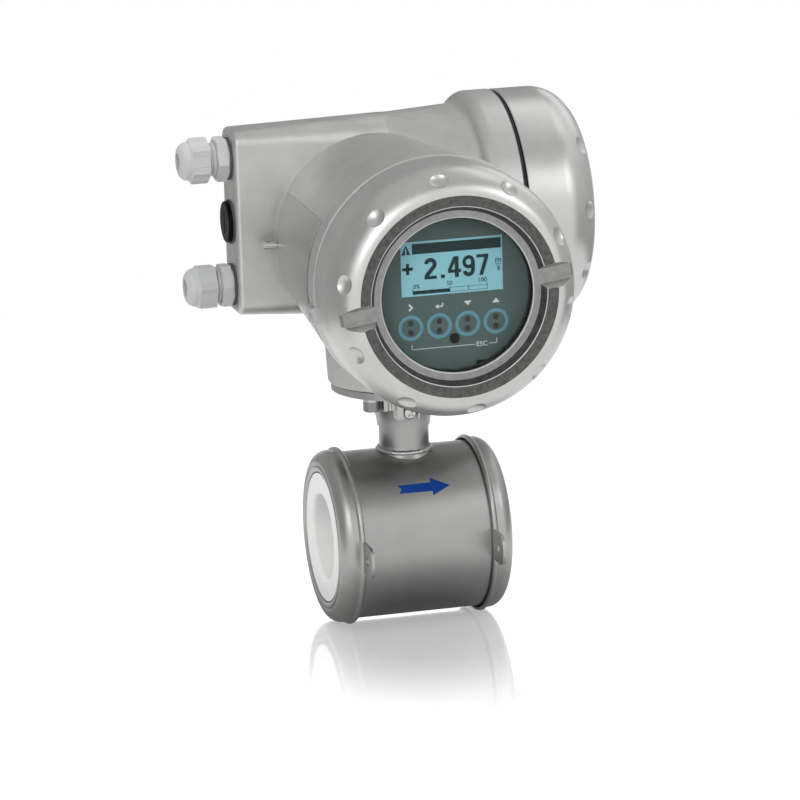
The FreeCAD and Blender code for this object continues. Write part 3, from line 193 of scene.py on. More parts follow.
@dataclass(frozen=True)
class Finish:
    """A surface finish: its tone, its gloss and the fine relief of the real surface.

    Sizes are in millimetres, shares are parts of one.
    """

    name: str
    tone: tuple[float, float, float]
    rough: float
    metal: float = 0.0
    grain: float = 0.4
    depth: float = 0.01
    lie: Grain = Grain.BLASTED
    mottle: float = 0.05
    patch: float = 14.0
    edge: float = 0.0
    coat: float = 0.0
    specular: float = 0.5

    def material(self) -> bpy.types.Material:
        """Build the node material once and reuse it.

        Returns:
            The material of this finish.
        """
        made = bpy.data.materials.get(self.name)
        if made:
            return made
        made = node_material(self.name)
        made.diffuse_color = (*self.tone, 1.0)
        tree = made.node_tree
        shader = feed(tree.nodes["Principled BSDF"], {
            "Metallic": self.metal, "Specular IOR Level": self.specular,
            "Coat Weight": self.coat, "Coat Roughness": COAT_ROUGHNESS})
        place = object_place(tree)
        self._tone_nodes(tree, place, shader)
        self._relief_nodes(tree, place, shader)
        return made

    def _tone_nodes(self, tree: bpy.types.NodeTree, place: Socket, shader: bpy.types.Node) -> None:
        """Vary tone and gloss in soft patches.

        Args:
            tree: the material's nodes.
            place: the place on the object.
            shader: the shader that takes the result.
        """
        patches = node(tree, "TexNoise", {
            "Vector": place, "Scale": METRE / self.patch, "Detail": 4.0, "Roughness": 0.6}).outputs["Fac"]
        ramp = node(tree, "ValToRGB", {"Fac": patches})
        low, high = ramp.color_ramp.elements
        low.position, high.position = 0.3, 0.7
        low.color = (*[c * (1 - self.mottle) for c in self.tone], 1.0)
        high.color = (*[min(c * (1 + self.mottle), 1.0) for c in self.tone], 1.0)
        gloss = ranged(tree, patches, (0.0, 1.0),
                       (max(self.rough - GLOSS_SPAN, 0.0), min(self.rough + GLOSS_SPAN, 1.0)))
        feed(shader, {"Base Color": ramp.outputs["Color"], "Roughness": gloss})

    def _relief_nodes(self, tree: bpy.types.NodeTree, place: Socket, shader: bpy.types.Node) -> None:
        """Add the fine relief, and eased edges where the finish has them.

        Args:
            tree: the material's nodes.
            place: the place on the object.
            shader: the shader that takes the result.
        """
        lie = node(tree, "Mapping", {
            "Vector": place, "Scale": [METRE / self.grain * s for s in self.lie.value]})
        grain = node(tree, "TexNoise", {"Vector": lie.outputs["Vector"], "Scale": 1.0, "Detail": 3.0})
        bump = node(tree, "Bump", {
            "Strength": 1.0, "Distance": self.depth * MM, "Height": grain.outputs["Fac"]})
        if self.edge:
            bevel = node(tree, "Bevel", {"Radius": self.edge * MM})
            bevel.samples = 4
            feed(bump, {"Normal": bevel.outputs["Normal"]})
        feed(shader, {"Normal": bump.outputs["Normal"]})


@dataclass(frozen=True)
class ClearGlass:
    """Clear window glass that lets light through to the display."""

    name: str = "window_glass_clear"
    tint: tuple[float, float, float] = (0.93, 0.98, 0.96)
    bending: float = 1.2
    smear: float = 60.0

    def material(self) -> bpy.types.Material:
        """Build the glass once and reuse it.

        Returns:
            The glass material.
        """
        made = bpy.data.materials.get(self.name)
        if made:
            return made
        made = node_material(self.name)
        tree = made.node_tree
        smear = node(tree, "TexNoise", {"Vector": object_place(tree), "Scale": self.smear})
        ramp = node(tree, "ValToRGB", {"Fac": smear.outputs["Fac"]})
        ramp.color_ramp.elements[0].color = (*[c * 0.99 for c in self.tint], 1.0)
        ramp.color_ramp.elements[1].color = (*self.tint, 1.0)
        shader = feed(tree.nodes["Principled BSDF"], {
            "Transmission Weight": 1.0, "IOR": self.bending, "Roughness": 0.0,
            "Base Color": ramp.outputs["Color"]})
        clear = node(tree, "BsdfTransparent", {"Color": (*self.tint, 1.0)})
        shadow = node(tree, "LightPath", {}).outputs["Is Shadow Ray"]
        seen = mixed(tree, shadow, shader.outputs["BSDF"], clear.outputs["BSDF"])
        feed(tree.nodes["Material Output"], {"Surface": seen})
        return made


STEEL = Finish("bead_blasted_steel", (0.61, 0.61, 0.60), 0.44, 1.0, 1.0, 0.030, mottle=0.06, edge=0.5)
COVER_STEEL = Finish("satin_cover_steel", (0.60, 0.60, 0.59), 0.32, 1.0, 0.9, 0.020, mottle=0.05, edge=0.35)
# The band and ledge finishes are darker copies of the cover steel: painted shade on the dished band, the
# ledge and the key slot floors, over the real cast grain.
BAND_PAINTED_SHADE_STEEL = Finish("band_steel_painted_shade", (0.115, 0.115, 0.112), 0.5, 1.0, 1.2, 0.11, mottle=0.3, patch=3.0)
LEDGE_PAINTED_SHADE_STEEL = Finish("ledge_steel_painted_shade", (0.30, 0.30, 0.295), 0.42, 1.0, 1.1, 0.06,
                     mottle=0.15, patch=3.0, edge=0.3)
SENSOR_STEEL = Finish("sensor_steel", (0.40, 0.40, 0.395), 0.36, 1.0, 0.7, 0.006, mottle=0.05, patch=20.0)
RING_STEEL = Finish("ring_steel", (0.44, 0.44, 0.43), 0.34, 1.0, 0.7, 0.006,
                    mottle=0.05, patch=12.0, edge=0.25)
WELD_STEEL = Finish("weld_bead_steel", (0.52, 0.52, 0.51), 0.28, 1.0, 1.2, 0.05, mottle=0.12, patch=3.0)
PLATE_STEEL = Finish("plate_steel", (0.46, 0.46, 0.45), 0.32, 1.0, 0.4, 0.003, Grain.UPRIGHT, 0.04)
BRIGHT_STEEL = Finish("bright_fastener_steel", (0.60, 0.60, 0.59), 0.24, 1.0, 0.5, 0.004,
                      mottle=0.08, patch=4.0)
DARK_STEEL = Finish("dark_cap_screw_steel", (0.30, 0.30, 0.295), 0.36, 1.0, 0.5, 0.008,
                    mottle=0.12, patch=4.0)
CLAMP_STEEL = Finish("earth_clamp_steel", (0.50, 0.50, 0.49), 0.34, 1.0, 0.5, 0.008,
                     mottle=0.08, patch=5.0, edge=0.3)
IRON = Finish("magnet_iron", (0.16, 0.16, 0.165), 0.5, 1.0, 0.8, 0.02, mottle=0.15)
COPPER = Finish("enamelled_copper", (0.48, 0.20, 0.09), 0.35, 1.0, 0.5, 0.12,
                Grain.ROUND_COIL, 0.12, coat=0.5)
CERAMIC = Finish("fired_ceramic", (0.87, 0.87, 0.86), 0.34, 0.0, 0.6, 0.002,
                 mottle=0.012, patch=30.0, coat=0.2)
RUBBER = Finish("black_rubber", (0.012, 0.012, 0.013), 0.6, 0.0, 0.3, 0.01, mottle=0.2)
GASKET = Finish("grey_gasket", (0.07, 0.07, 0.07), 0.7, 0.0, 0.3, 0.015, mottle=0.2)
GLAND = Finish("light_grey_polyamide", (0.56, 0.565, 0.57), 0.38, 0.0, 0.8, 0.006,
               mottle=0.03, edge=0.25, specular=0.4)
PLUG = Finish("black_plug_plastic", (0.003, 0.003, 0.0035), 0.35, 0.0, 0.6, 0.003, mottle=0.2, specular=0.06)
FACE = Finish("dark_display_plastic", (0.068, 0.092, 0.091), 0.55, 0.0, 3.0, 0.002,
              mottle=0.03, patch=20.0, specular=0.1)
LENS = Finish("dark_key_lens", (0.016, 0.018, 0.018), 0.4, 0.0, 1.0, 0.001, mottle=0.1, specular=0.2)
SCREEN = Finish("screen_blue", (0.22, 0.425, 0.50), 0.45, 0.0, 2.0, 0.001,
                mottle=0.02, patch=9.0, specular=0.1)
INK = Finish("screen_ink", (0.006, 0.020, 0.026), 0.5, 0.0, 1.0, 0.001, mottle=0.05, patch=5.0, specular=0.1)
KEY_BLUE = Finish("key_ring_blue", (0.095, 0.215, 0.28), 0.5, 0.0, 0.8, 0.001,
                  mottle=0.04, patch=6.0, specular=0.1)
PRINT = Finish("plate_print", (0.52, 0.55, 0.55), 0.5, 0.0, 0.8, 0.001, mottle=0.05, patch=4.0, specular=0.1)
ARROW = Finish("arrow_blue", (0.001, 0.045, 0.26), 0.55, 0.0, 0.4, 0.002,
               mottle=0.06, patch=5.0, specular=0.15)
BLACK = Finish("black_plastic", (0.02, 0.022, 0.022), 0.5, 0.0, 0.4, 0.006, mottle=0.1)
BOARD = Finish("circuit_board", (0.02, 0.10, 0.045), 0.4, 0.0, 0.9, 0.03, mottle=0.35, patch=3.0, coat=0.3)
SHEET = Finish("sheet_aluminium", (0.70, 0.70, 0.71), 0.3, 1.0, 0.4, 0.004, Grain.UPRIGHT, 0.05)
TERMINAL = Finish("terminal_plastic", (0.06, 0.16, 0.09), 0.45, 0.0, 0.5, 0.006, mottle=0.08)
CARRIER = Finish("carrier_plastic", (0.10, 0.105, 0.11), 0.5, 0.0, 0.5, 0.008, mottle=0.08)
GLASS = ClearGlass()

NODE_FINISHES: dict[str, Finish | ClearGlass] = {
    "sensor_housing": SENSOR_STEEL, "measuring_tube": CERAMIC, "inlet_tube_seal": RUBBER,
    "outlet_tube_seal": RUBBER, "upper_field_coil": COPPER, "lower_field_coil": COPPER,
    "upper_pole_core": IRON, "lower_pole_core": IRON, "magnet_yoke": IRON, "electrodes": BRIGHT_STEEL,
    "neck_gasket": GASKET, "flange_screws": DARK_STEEL, "spring_washers": BRIGHT_STEEL,
    "earth_clamp": CLAMP_STEEL, "earth_screw": BRIGHT_STEEL, "converter_housing": STEEL,
    "cover_lock_screw": BRIGHT_STEEL, "wire_bushing": BLACK, "type_plate": PLATE_STEEL,
    "seal_eyelet": BRIGHT_STEEL, "window_glass": GLASS, "glass_retainer": BLACK, "cover_seal": RUBBER,
    "faceplate": FACE, "key_lenses": LENS, "lcd_panel": SCREEN, "display_board": BOARD,
    "electronics_can": SHEET, "can_screws": BRIGHT_STEEL, "signal_board": BOARD, "power_board": BOARD,
    "cap_seal": RUBBER, "terminal_carrier": CARRIER, "carrier_screws": BRIGHT_STEEL,
    "terminal_block": TERMINAL, "terminal_screws": BRIGHT_STEEL, "blind_plug": PLUG,
    "plug_washer": GASKET, "upper_gland_washer": GASKET, "lower_gland_washer": GASKET,
    "upper_gland_body": GLAND, "lower_gland_body": GLAND, "upper_seal_insert": RUBBER,
    "lower_seal_insert": RUBBER,
}


def local_frame(origin: Sequence[float], ex: Sequence[float], ey: Sequence[float]) -> Matrix:
    """Frame of a sub-assembly whose local x and y run along ex and ey.

    Args:
        origin: its origin in the row frame, in mm.
        ex: direction of local x.
        ey: direction of local y.

    Returns:
        The matrix from local mm to row metres.
    """
    x, y = Vector(ex), Vector(ey)
    z = x.cross(y)
    rows = [[x[i] * MM, y[i] * MM, z[i] * MM, origin[i] * MM] for i in range(3)]
    return Matrix(rows + [[0, 0, 0, 1]])


TUBE = local_frame((0, 0, 0), (0, 1, 0), (0, 0, 1))
DISPLAY = local_frame((0, 0, HEAD_Z), (1, 0, 0), (0, 0, 1))
REAR = local_frame((0, REAR_Y, REAR_Z), (0, 1, 0), (0, 0, 1))


def entry_frame(step: int) -> Matrix:
    """Frame of a cable entry: 1 is the upper one and -1 the lower."""
    return local_frame((ENTRY_X, REAR_Y, ENTRY_Z + step * ENTRY_PITCH), (0, -1, 0), (0, 0, 1))


def eased(corners: Sequence[Sequence[float]], steps: int = 3) -> list[Point]:
    """Round the corners of a closed outline.

    Args:
        corners: (radius, height) or (radius, height, ease) corners in order.
        steps: number of short edges that replace an eased corner.

    Returns:
        The outline's points.
    """
    points: list[Point] = []
    count = len(corners)
    for i, corner in enumerate(corners):
        here = Vector(corner[:2])
        if len(corner) < 3 or not corner[2]:
            points.append((here.x, here.y))
            continue
        before = Vector(corners[i - 1][:2]) - here
        after = Vector(corners[(i + 1) % count][:2]) - here
        reach = min(corner[2], before.length * 0.45, after.length * 0.45)
        start = here + before.normalized() * reach
        end = here + after.normalized() * reach
        for k in range(steps + 1):
            t = k / steps
            spot = start * (1 - t) ** 2 + here * 2 * t * (1 - t) + end * t * t
            points.append((spot.x, spot.y))
    return points


def bend(start: Point, corner: Point, end: Point, steps: int) -> list[Point]:
    """Quarter ellipse that fills a corner.

    Args:
        start: where it begins.
        corner: the corner that it rounds.
        end: where it ends.
        steps: number of short edges.

    Returns:
        Its points without the two ends.
    """
    upright = start[0] == corner[0]
    points = []
    for k in range(1, steps):
        a = math.pi / 2 * k / steps
        slow, fast = 1 - math.cos(a), math.sin(a)
        across, along = (slow, fast) if upright else (fast, slow)
        points.append((start[0] + (end[0] - start[0]) * across, start[1] + (end[1] - start[1]) * along))
    return points


def revolve(outline: Sequence[Point], segments: int,
            reach: Callable[[float, float, float], float] | None = None) -> Solid:
    """Turn a closed outline about local z.

    Args:
        outline: (radius, height) points; a radius of 0 lies on the axis.
        segments: number of steps round the axis.
        reach: optional rule that gives the radius from (radius, height, angle).

    Returns:
        Vertices in local mm, and faces.
    """
    verts: list[Vector] = []
    rows: list[list[int]] = []
    for radius, height in outline:
        if radius < 1e-6:
            verts.append(Vector((0, 0, height)))
            rows.append([len(verts) - 1] * segments)
            continue
        row = []
        for k in range(segments):
            angle = 2 * math.pi * k / segments
            r = reach(radius, height, angle) if reach else radius
            verts.append(Vector((r * math.cos(angle), r * math.sin(angle), height)))
            row.append(len(verts) - 1)
        rows.append(row)
    faces: list[tuple[int, ...]] = []
    for i, row in enumerate(rows):
        ahead = rows[(i + 1) % len(rows)]
        for k in range(segments):
            n = (k + 1) % segments
            face = tuple(dict.fromkeys([row[k], row[n], ahead[n], ahead[k]]))
            if len(face) > 2:
                faces.append(face)
    return verts, faces


def slab(outline: Sequence[Point], low: float, high: float) -> Solid:
    """Prism of a flat outline.

    Args:
        outline: its corners in order.
        low: height of its bottom.
        high: height of its top.

    Returns:
        The prism.
    """
    count = len(outline)
    verts = [Vector((x, y, z)) for z in (low, high) for x, y in outline]
    faces: list[tuple[int, ...]] = [tuple(reversed(range(count))), tuple(range(count, 2 * count))]
    for i in range(count):
        n = (i + 1) % count
        faces.append((i, n, count + n, count + i))
    return verts, faces


def bar(left: float, right: float, bottom: float, top: float) -> list[Point]:
    """Corners of an upright rectangle."""
    return [(left, bottom), (right, bottom), (right, top), (left, top)]


def together(solids: Iterable[Solid]) -> Solid:
    """Put several solids in one mesh.

    Args:
        solids: the solids.

    Returns:
        One solid.
    """
    verts: list[Vector] = []
    faces: list[tuple[int, ...]] = []
    for more, flats in solids:
        base = len(verts)
        verts += more
        faces += [tuple(i + base for i in flat) for flat in flats]
    return verts, faces


def turned_by(solid: Solid, angle: float) -> Solid:
    """Turn a solid about local z by an angle in degrees."""
    turn = Matrix.Rotation(math.radians(angle), 3, "Z")
    return [turn @ v for v in solid[0]], solid[1]


def moved(solid: Solid, x: float, y: float, z: float) -> Solid:
    """Shift a solid in its frame."""
    shift = Vector((x, y, z))
    return [v + shift for v in solid[0]], solid[1]


def both_ways(solid: Solid, angle: float) -> Solid:
    """A solid at an angle and its twin across the axis."""
    return together([turned_by(solid, angle), turned_by(solid, angle + 180)])


def placed(name: str, data: bpy.types.ID) -> bpy.types.Object:
    """Put new object data in the scene.

    Args:
        name: the object's name.
        data: its mesh, lamp, camera or lettering.

    Returns:
        The object.
    """
    made = bpy.data.objects.new(name, data)
    bpy.context.scene.collection.objects.link(made)
    return made


def piece(name: str, solid: Solid, frame: Matrix) -> bpy.types.Object:
    """Make an object from a local solid.

    Args:
        name: the piece's name.
        solid: vertices in local mm, and faces.
        frame: the sub-assembly's frame.

    Returns:
        The object, with its place in its mesh.
    """
    mesh = bpy.data.meshes.new(name)
    mesh.from_pydata([frame @ v for v in solid[0]], [], solid[1])
    work = bmesh.new()
    work.from_mesh(mesh)
    bmesh.ops.recalc_face_normals(work, faces=work.faces)
    work.to_mesh(mesh)
    work.free()
    return placed(name, mesh)


def carved(target: bpy.types.Object, cutter: Solid, frame: Matrix) -> None:
    """Cut a solid out of a piece and keep the result as its mesh.

    Args:
        target: the piece.
        cutter: the solid, in local mm.
        frame: the frame of the solid.
    """
    tool = piece(target.name + "_tool", cutter, frame)
    step = target.modifiers.new("carve", "BOOLEAN")
    step.operation = "DIFFERENCE"
    step.solver = "EXACT"
    step.object = tool
    seen = target.evaluated_get(bpy.context.evaluated_depsgraph_get())
    mesh = bpy.data.meshes.new_from_object(seen)
    target.modifiers.clear()
    target.data = mesh
    bpy.data.objects.remove(tool)


def smooth(target: bpy.types.Object, angle: float = 28.0) -> None:
    """Shade a piece smooth up to an edge angle, with broad faces kept flat beside small ones.

    Args:
        target: the piece.
        angle: edges sharper than this many degrees stay sharp.
    """
    target.data.shade_smooth()
    target.data.set_sharp_from_angle(angle=math.radians(angle))
    step = target.modifiers.new("even_normals", "WEIGHTED_NORMAL")
    step.keep_sharp = True


def dress(target: bpy.types.Object, finish: Finish | ClearGlass) -> None:
    """Give every material slot of an object one finish.

    Args:
        target: the object.
        finish: its finish.
    """
    if not target.material_slots:
        target.data.materials.append(None)
    for held in target.material_slots:
        held.material = finish.material()


def zoned(target: bpy.types.Object, frame: Matrix, finishes: Sequence[Finish],
          zone: Callable[[float, float, float], int]) -> None:
    """Give the zones of a turned piece their own finishes.

    Args:
        target: the piece.
        frame: its frame.
        finishes: the finishes, the first one for the rest of the piece.
        zone: rule that gives the finish's place from (radius, height, angle in degrees).
    """
    target.data.materials.clear()
    for finish in finishes:
        target.data.materials.append(finish.material())
    back = frame.inverted()
    for face in target.data.polygons:
        spot = back @ face.center
        angle = math.degrees(math.atan2(spot.y, spot.x))
        face.material_index = zone(math.hypot(spot.x, spot.y), spot.z, angle)


def mount(target: bpy.types.Object, finish: Finish, body: str, slot: str, *nodes: str) -> bpy.types.Object:
    """Dress a new piece, let it ride on a body and stand for its nodes.

    Args:
        target: the piece.
        finish: its finish.
        body: the body it moves with.
        slot: the record's material slot; not used.
        nodes: the nodes it stands for.

    Returns:
        The piece.
    """
    if not target.material_slots:
        dress(target, finish)
    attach(target, body)
    if nodes:
        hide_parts(*nodes)
    LOG.info("piece %s on %s: %d faces", target.name, body, len(target.data.polygons))
    return target


def dimple_balls(radius: float, height: float, lean: float, start: float) -> Solid:
    """Balls that press a ring of finger dimples.

    Args:
        radius: radius of the dimple middles on the surface.
        height: height of the dimple middles.
        lean: lean of each dimple outwards from level, in degrees.
        start: angle of the first dimple.

    Returns:
        The balls as one solid.
    """
    ball = ((DIMPLE_SPAN / 2) ** 2 + DIMPLE_DEPTH ** 2) / (2 * DIMPLE_DEPTH)
    rise = ball - DIMPLE_DEPTH
    half = [(ball * math.sin(math.pi * k / 36), ball * math.cos(math.pi * k / 36)) for k in range(37)]
    half[0] = (0.0, ball)
    half[-1] = (0.0, -ball)
    lean = math.radians(lean)
    one = moved(revolve(half, 72), radius + rise * math.cos(lean), 0, height + rise * math.sin(lean))
    return together(turned_by(one, start + 360 / DIMPLE_COUNT * i) for i in range(DIMPLE_COUNT))


def key_slot(floor: float, inner: float, outer: float, top: float, draft: float) -> Solid:
    """Drafted slot for the cover key, along local x.

    Args:
        floor: height of its floor.
        inner: its inner end.
        outer: its outer end.
        top: height where it opens.
        draft: how much wider each side is at the top.

    Returns:
        The slot as a solid.
    """
    half = KEY_WIDTH / 2
    wide = half + draft
    rows = [(inner, floor, half), (outer, floor, half), (outer, top, wide), (inner, top, wide)]
    verts = [Vector((x, side * w, z)) for side in (-1, 1) for x, z, w in rows]
    faces = [(0, 1, 2, 3), (7, 6, 5, 4), (0, 4, 5, 1), (1, 5, 6, 2), (2, 6, 7, 3), (3, 7, 4, 0)]
    return verts, faces


def thread(crest: float, low: float, count: int, marks: Sequence[float]) -> list[Point]:
    """Ridges of a cover's thread.

    Args:
        crest: radius of the ridges.
        low: height where the first pitch begins.
        count: number of ridges.
        marks: root, start and end of a ridge from the begin of its pitch.

    Returns:
        The ridges' corners.
    """
    ridges: list[Point] = []
    for i in range(count):
        begin = low + THREAD_PITCH * i
        ridges += [(crest - THREAD_DEPTH, begin + marks[0]), (crest, begin + marks[1]),
                   (crest, begin + marks[2])]
    return ridges


@dataclass
class WindowCover:
    """Screwed front cover with its window ledge, finger dimples and key slots."""

    radius: float = 71.8
    foot: float = 83.5
    shoulder: float = 107.1
    crest: float = 130.1
    crest_r: float = 57.3
    band_r: float = 50.9
    ledge_r: float = 48.2
    ledge: float = 124.7
    window_r: float = 43.8
    glass: float = 122.9
    pocket_end: float = 114.9
    spigot_r: float = 63.85
    spigot_length: float = 13.0
    inner_r: float = 59.85
    dimple_place: float = 49.0
    dimple_lean: float = 47.0
    dimple_start: float = 26.0
    slot_angle: float = 8.0
    slot_draft: float = 3.28

    def outline(self) -> list[Point]:
        """Draw the turned cover.

        Returns:
            Its closed outline, in local mm.
        """
        root, wide, shoulder = self.spigot_r - THREAD_DEPTH, self.radius, (self.radius, self.shoulder)
        low = self.foot - self.spigot_length
        under = [(self.inner_r, low, 0.4), *thread(self.spigot_r, low, 4, (0.9, 1.65, 3.0)),
                 (root, self.foot - 0.3), (root, self.foot, 0.2), (wide, self.foot, 0.8), shoulder]
        points = eased(under)[:-1] + [(wide, self.foot + 6), (wide, self.foot + 14), shoulder]
        points += bend(shoulder, (wide, self.crest), (self.crest_r, self.crest), 28)
        pocket_r = self.ledge_r + 0.1
        face = [(self.crest_r, self.crest), ((self.crest_r + self.band_r) / 2, self.crest - 1.08),
                (self.band_r, self.crest - 0.6, 0.35), (self.ledge_r, self.ledge, 0.3),
                (self.window_r, self.ledge, 0.7), (self.window_r, self.glass), (pocket_r, self.glass),
                (pocket_r, self.pocket_end), (self.inner_r - 2.5, self.pocket_end),
                (self.inner_r, self.pocket_end - 2.5)]
        return points + eased(face)

    def build(self) -> bpy.types.Object:
        """Make the cover with dimples and slots.

        Returns:
            The cover.
        """
        cover = piece("window_cover", revolve(self.outline(), 360), DISPLAY)
        turn = math.radians(self.dimple_place)
        radius = self.crest_r + (self.radius - self.crest_r) * math.cos(turn)
        height = self.shoulder + (self.crest - self.shoulder) * math.sin(turn)
        carved(cover, dimple_balls(radius, height, self.dimple_lean, self.dimple_start), DISPLAY)
        slot = key_slot(self.ledge, self.ledge_r - 2.5, self.radius + 5, self.crest + 0.5, self.slot_draft)
        carved(cover, both_ways(slot, self.slot_angle), DISPLAY)
        smooth(cover)
        # Painted shade: the dished band, the ledge and the key slot floors get darker copies of the cover
        # steel.
        zoned(cover, DISPLAY, (COVER_STEEL, BAND_PAINTED_SHADE_STEEL, LEDGE_PAINTED_SHADE_STEEL), self.zone)
        return mount(cover, COVER_STEEL, "front_window_cover", "cast_head", "front_cover")

    def zone(self, radius: float, height: float, angle: float) -> int:
        """Pick the faces that get painted shade: the band inside the crest and its inner wall, the window
        ledge and the key slot floors.

        Args:
            radius: radius of a face's middle.
            height: its height.
            angle: its angle.

        Returns:
            The place of its finish.
        """
        if height < self.glass - 0.2:
            return 0
        aside = abs(radius * math.sin(math.radians(angle - self.slot_angle)))
        if radius > self.ledge_r + 0.2 and aside < 4.1 and height < self.ledge + 0.1:
            return 2
        if self.band_r + 0.25 < radius < self.crest_r - 0.55 and height > self.crest - 2.0:
            return 1
        if self.ledge_r + 0.2 < radius < self.band_r - 0.1 and height < self.crest - 0.9:
            return 1
        if self.window_r + 1.2 < radius <= self.ledge_r + 0.2:
            return 2
        return 0


@dataclass
class BlindCap:
    """Screwed blind cap of the terminal chamber."""

    radius: float = 70.1
    foot: float = 80.8
    end: float = 126.1
    shoulder: float = 23.0
    recess_r: float = 41.0
    recess: float = 1.2
    spigot_r: float = 62.25
    spigot_end: float = 71.6
    wall: float = 5.0
    dimple_start: float = 31.0
    slot_angle: float = 49.0
    slot_inner: float = 24.0
    slot_depth: float = 4.3
    slot_draft: float = 3.3

    def outline(self) -> list[Point]:
        """Draw the turned cap.

        Returns:
            Its closed outline, in local mm.
        """
        corner = self.end - self.shoulder
        face_r = self.radius - self.shoulder
        inner_r = self.spigot_r - self.wall
        inner_turn = self.shoulder - self.wall
        floor = self.end - self.recess
        under = [(inner_r, self.spigot_end, 0.3), *thread(self.spigot_r, self.spigot_end, 3, (0.7, 1.5, 2.7)),
                 (self.spigot_r - THREAD_DEPTH, self.foot, 0.2), (self.radius, self.foot, 0.9),
                 (self.radius, corner)]
        points = eased(under)[:-1]
        points += [(self.radius, self.foot + 8), (self.radius, self.foot + 15), (self.radius, corner)]
        points += bend((self.radius, corner), (self.radius, self.end), (face_r, self.end), 24)
        points += eased([(face_r, self.end), (self.recess_r, self.end, 0.4),
                         (self.recess_r - 2, floor, 0.4), (0.0, floor)])[:-1]
        top = corner + inner_turn
        points += [(0.0, floor), (0.0, top), (inner_r - inner_turn, top)]
        points += bend((inner_r - inner_turn, top), (inner_r, top), (inner_r, corner), 10)
        return points + [(inner_r, corner)]

    def build(self) -> bpy.types.Object:
        """Make the cap with dimples and slots.

        Returns:
            The cap.
        """
        cap = piece("blind_cap", revolve(self.outline(), 320), REAR)
        corner = self.end - self.shoulder
        reach = self.shoulder * math.cos(math.pi / 4)
        balls = dimple_balls(self.radius - self.shoulder + reach, corner + reach, 45.0, self.dimple_start)
        carved(cap, balls, REAR)
        slot = key_slot(self.end - self.slot_depth, self.slot_inner, self.radius + 5, self.end + 0.5,
                        self.slot_draft)
        carved(cap, both_ways(slot, self.slot_angle), REAR)
        smooth(cap)
        return mount(cap, COVER_STEEL, "rear_blind_cap", "cast_head", "rear_cap")


@dataclass
class EarthingRing:
    """Pressed steel earthing ring with its rolled rim and screw ear."""

    side: Side
    radius: float = 51.0
    rim_r: float = 52.5
    lip_r: float = 38.7
    groove_r: float = 42.6
    face: float = 52.2
    root: float = 46.0
    rim_start: float = 38.2
    body_r: float = 49.4
    turn: float = 8.0
    ear_reach: float = 71.5
    ear_half: float = 9.0
    ear_thick: float = 1.8
    hole_r: float = 2.6

    def outline(self) -> list[Point]:
        """Draw the turned ring.

        Returns:
            Its closed outline, in local mm.
        """
        lip, groove, face, seat = self.lip_r, self.groove_r, self.face, self.body_r + 0.15
        points = eased([(lip, self.root), (lip, face - 0.8, 0.3), (lip + 1.6, face, 0.4),
                        (groove - 1.0, face, 0.3), (groove - 0.3, face - 1.0, 0.3),
                        (groove + 0.4, face - 1.0, 0.3), (groove + 1.1, face - 0.15)])
        centre = (self.radius - self.turn, face - self.turn)
        start = math.radians(80)
        for k in range(20):
            a = start * (1 - k / 19)
            points.append((centre[0] + self.turn * math.cos(a), centre[1] + self.turn * math.sin(a)))
        points += [(self.radius, self.rim_start + 5.0), (self.radius, self.rim_start + 3.6)]
        middle = self.rim_start + 1.7
        for k in range(9):
            a = math.radians(70 - 160 * k / 8)
            points.append((self.rim_r - 1.5 + 1.5 * math.cos(a), middle + 1.6 * math.sin(a)))
        return points + [(self.body_r + 1.4, self.rim_start), (seat, self.rim_start + 3.0), (seat, self.root)]

    def ear(self) -> Solid:
        """Draw the screw ear towards local -x.

        Returns:
            The ear without its hole.
        """
        root, half = -(self.radius - 0.3), self.ear_half
        straight = -(self.ear_reach - half * 0.8)
        edge = [(root, -half), (straight, -half)]
        for k in range(1, 24):
            a = math.pi * k / 24
            edge.append((straight - (self.ear_reach + straight) * math.sin(a), -half * math.cos(a)))
        edge += [(straight, half), (root, half)]
        return slab(edge, self.rim_start + 0.2, self.rim_start + 0.2 + self.ear_thick)

    def build(self) -> bpy.types.Object:
        """Make the ring with its ear.

        Returns:
            The ring.
        """
        frame = Matrix.Scale(self.side.value, 4, (1, 0, 0)) @ TUBE
        name = self.side.name.lower()
        made = piece(name + "_earthing_ring", revolve(self.outline(), 320), frame)
        ear = piece(name + "_ear_blank", self.ear(), frame)
        low, high = self.rim_start - 4, self.rim_start + 6
        hole = revolve([(0, low), (self.hole_r, low), (self.hole_r, high), (0, high)], 40)
        carved(ear, moved(hole, -(self.radius + self.ear_reach) / 2, 0, 0), frame)
        work = bmesh.new()
        work.from_mesh(made.data)
        work.from_mesh(ear.data)
        work.to_mesh(made.data)
        work.free()
        bpy.data.objects.remove(ear)
        smooth(made)
        return mount(made, RING_STEEL, "meter", "stainless_body", name + "_ring")


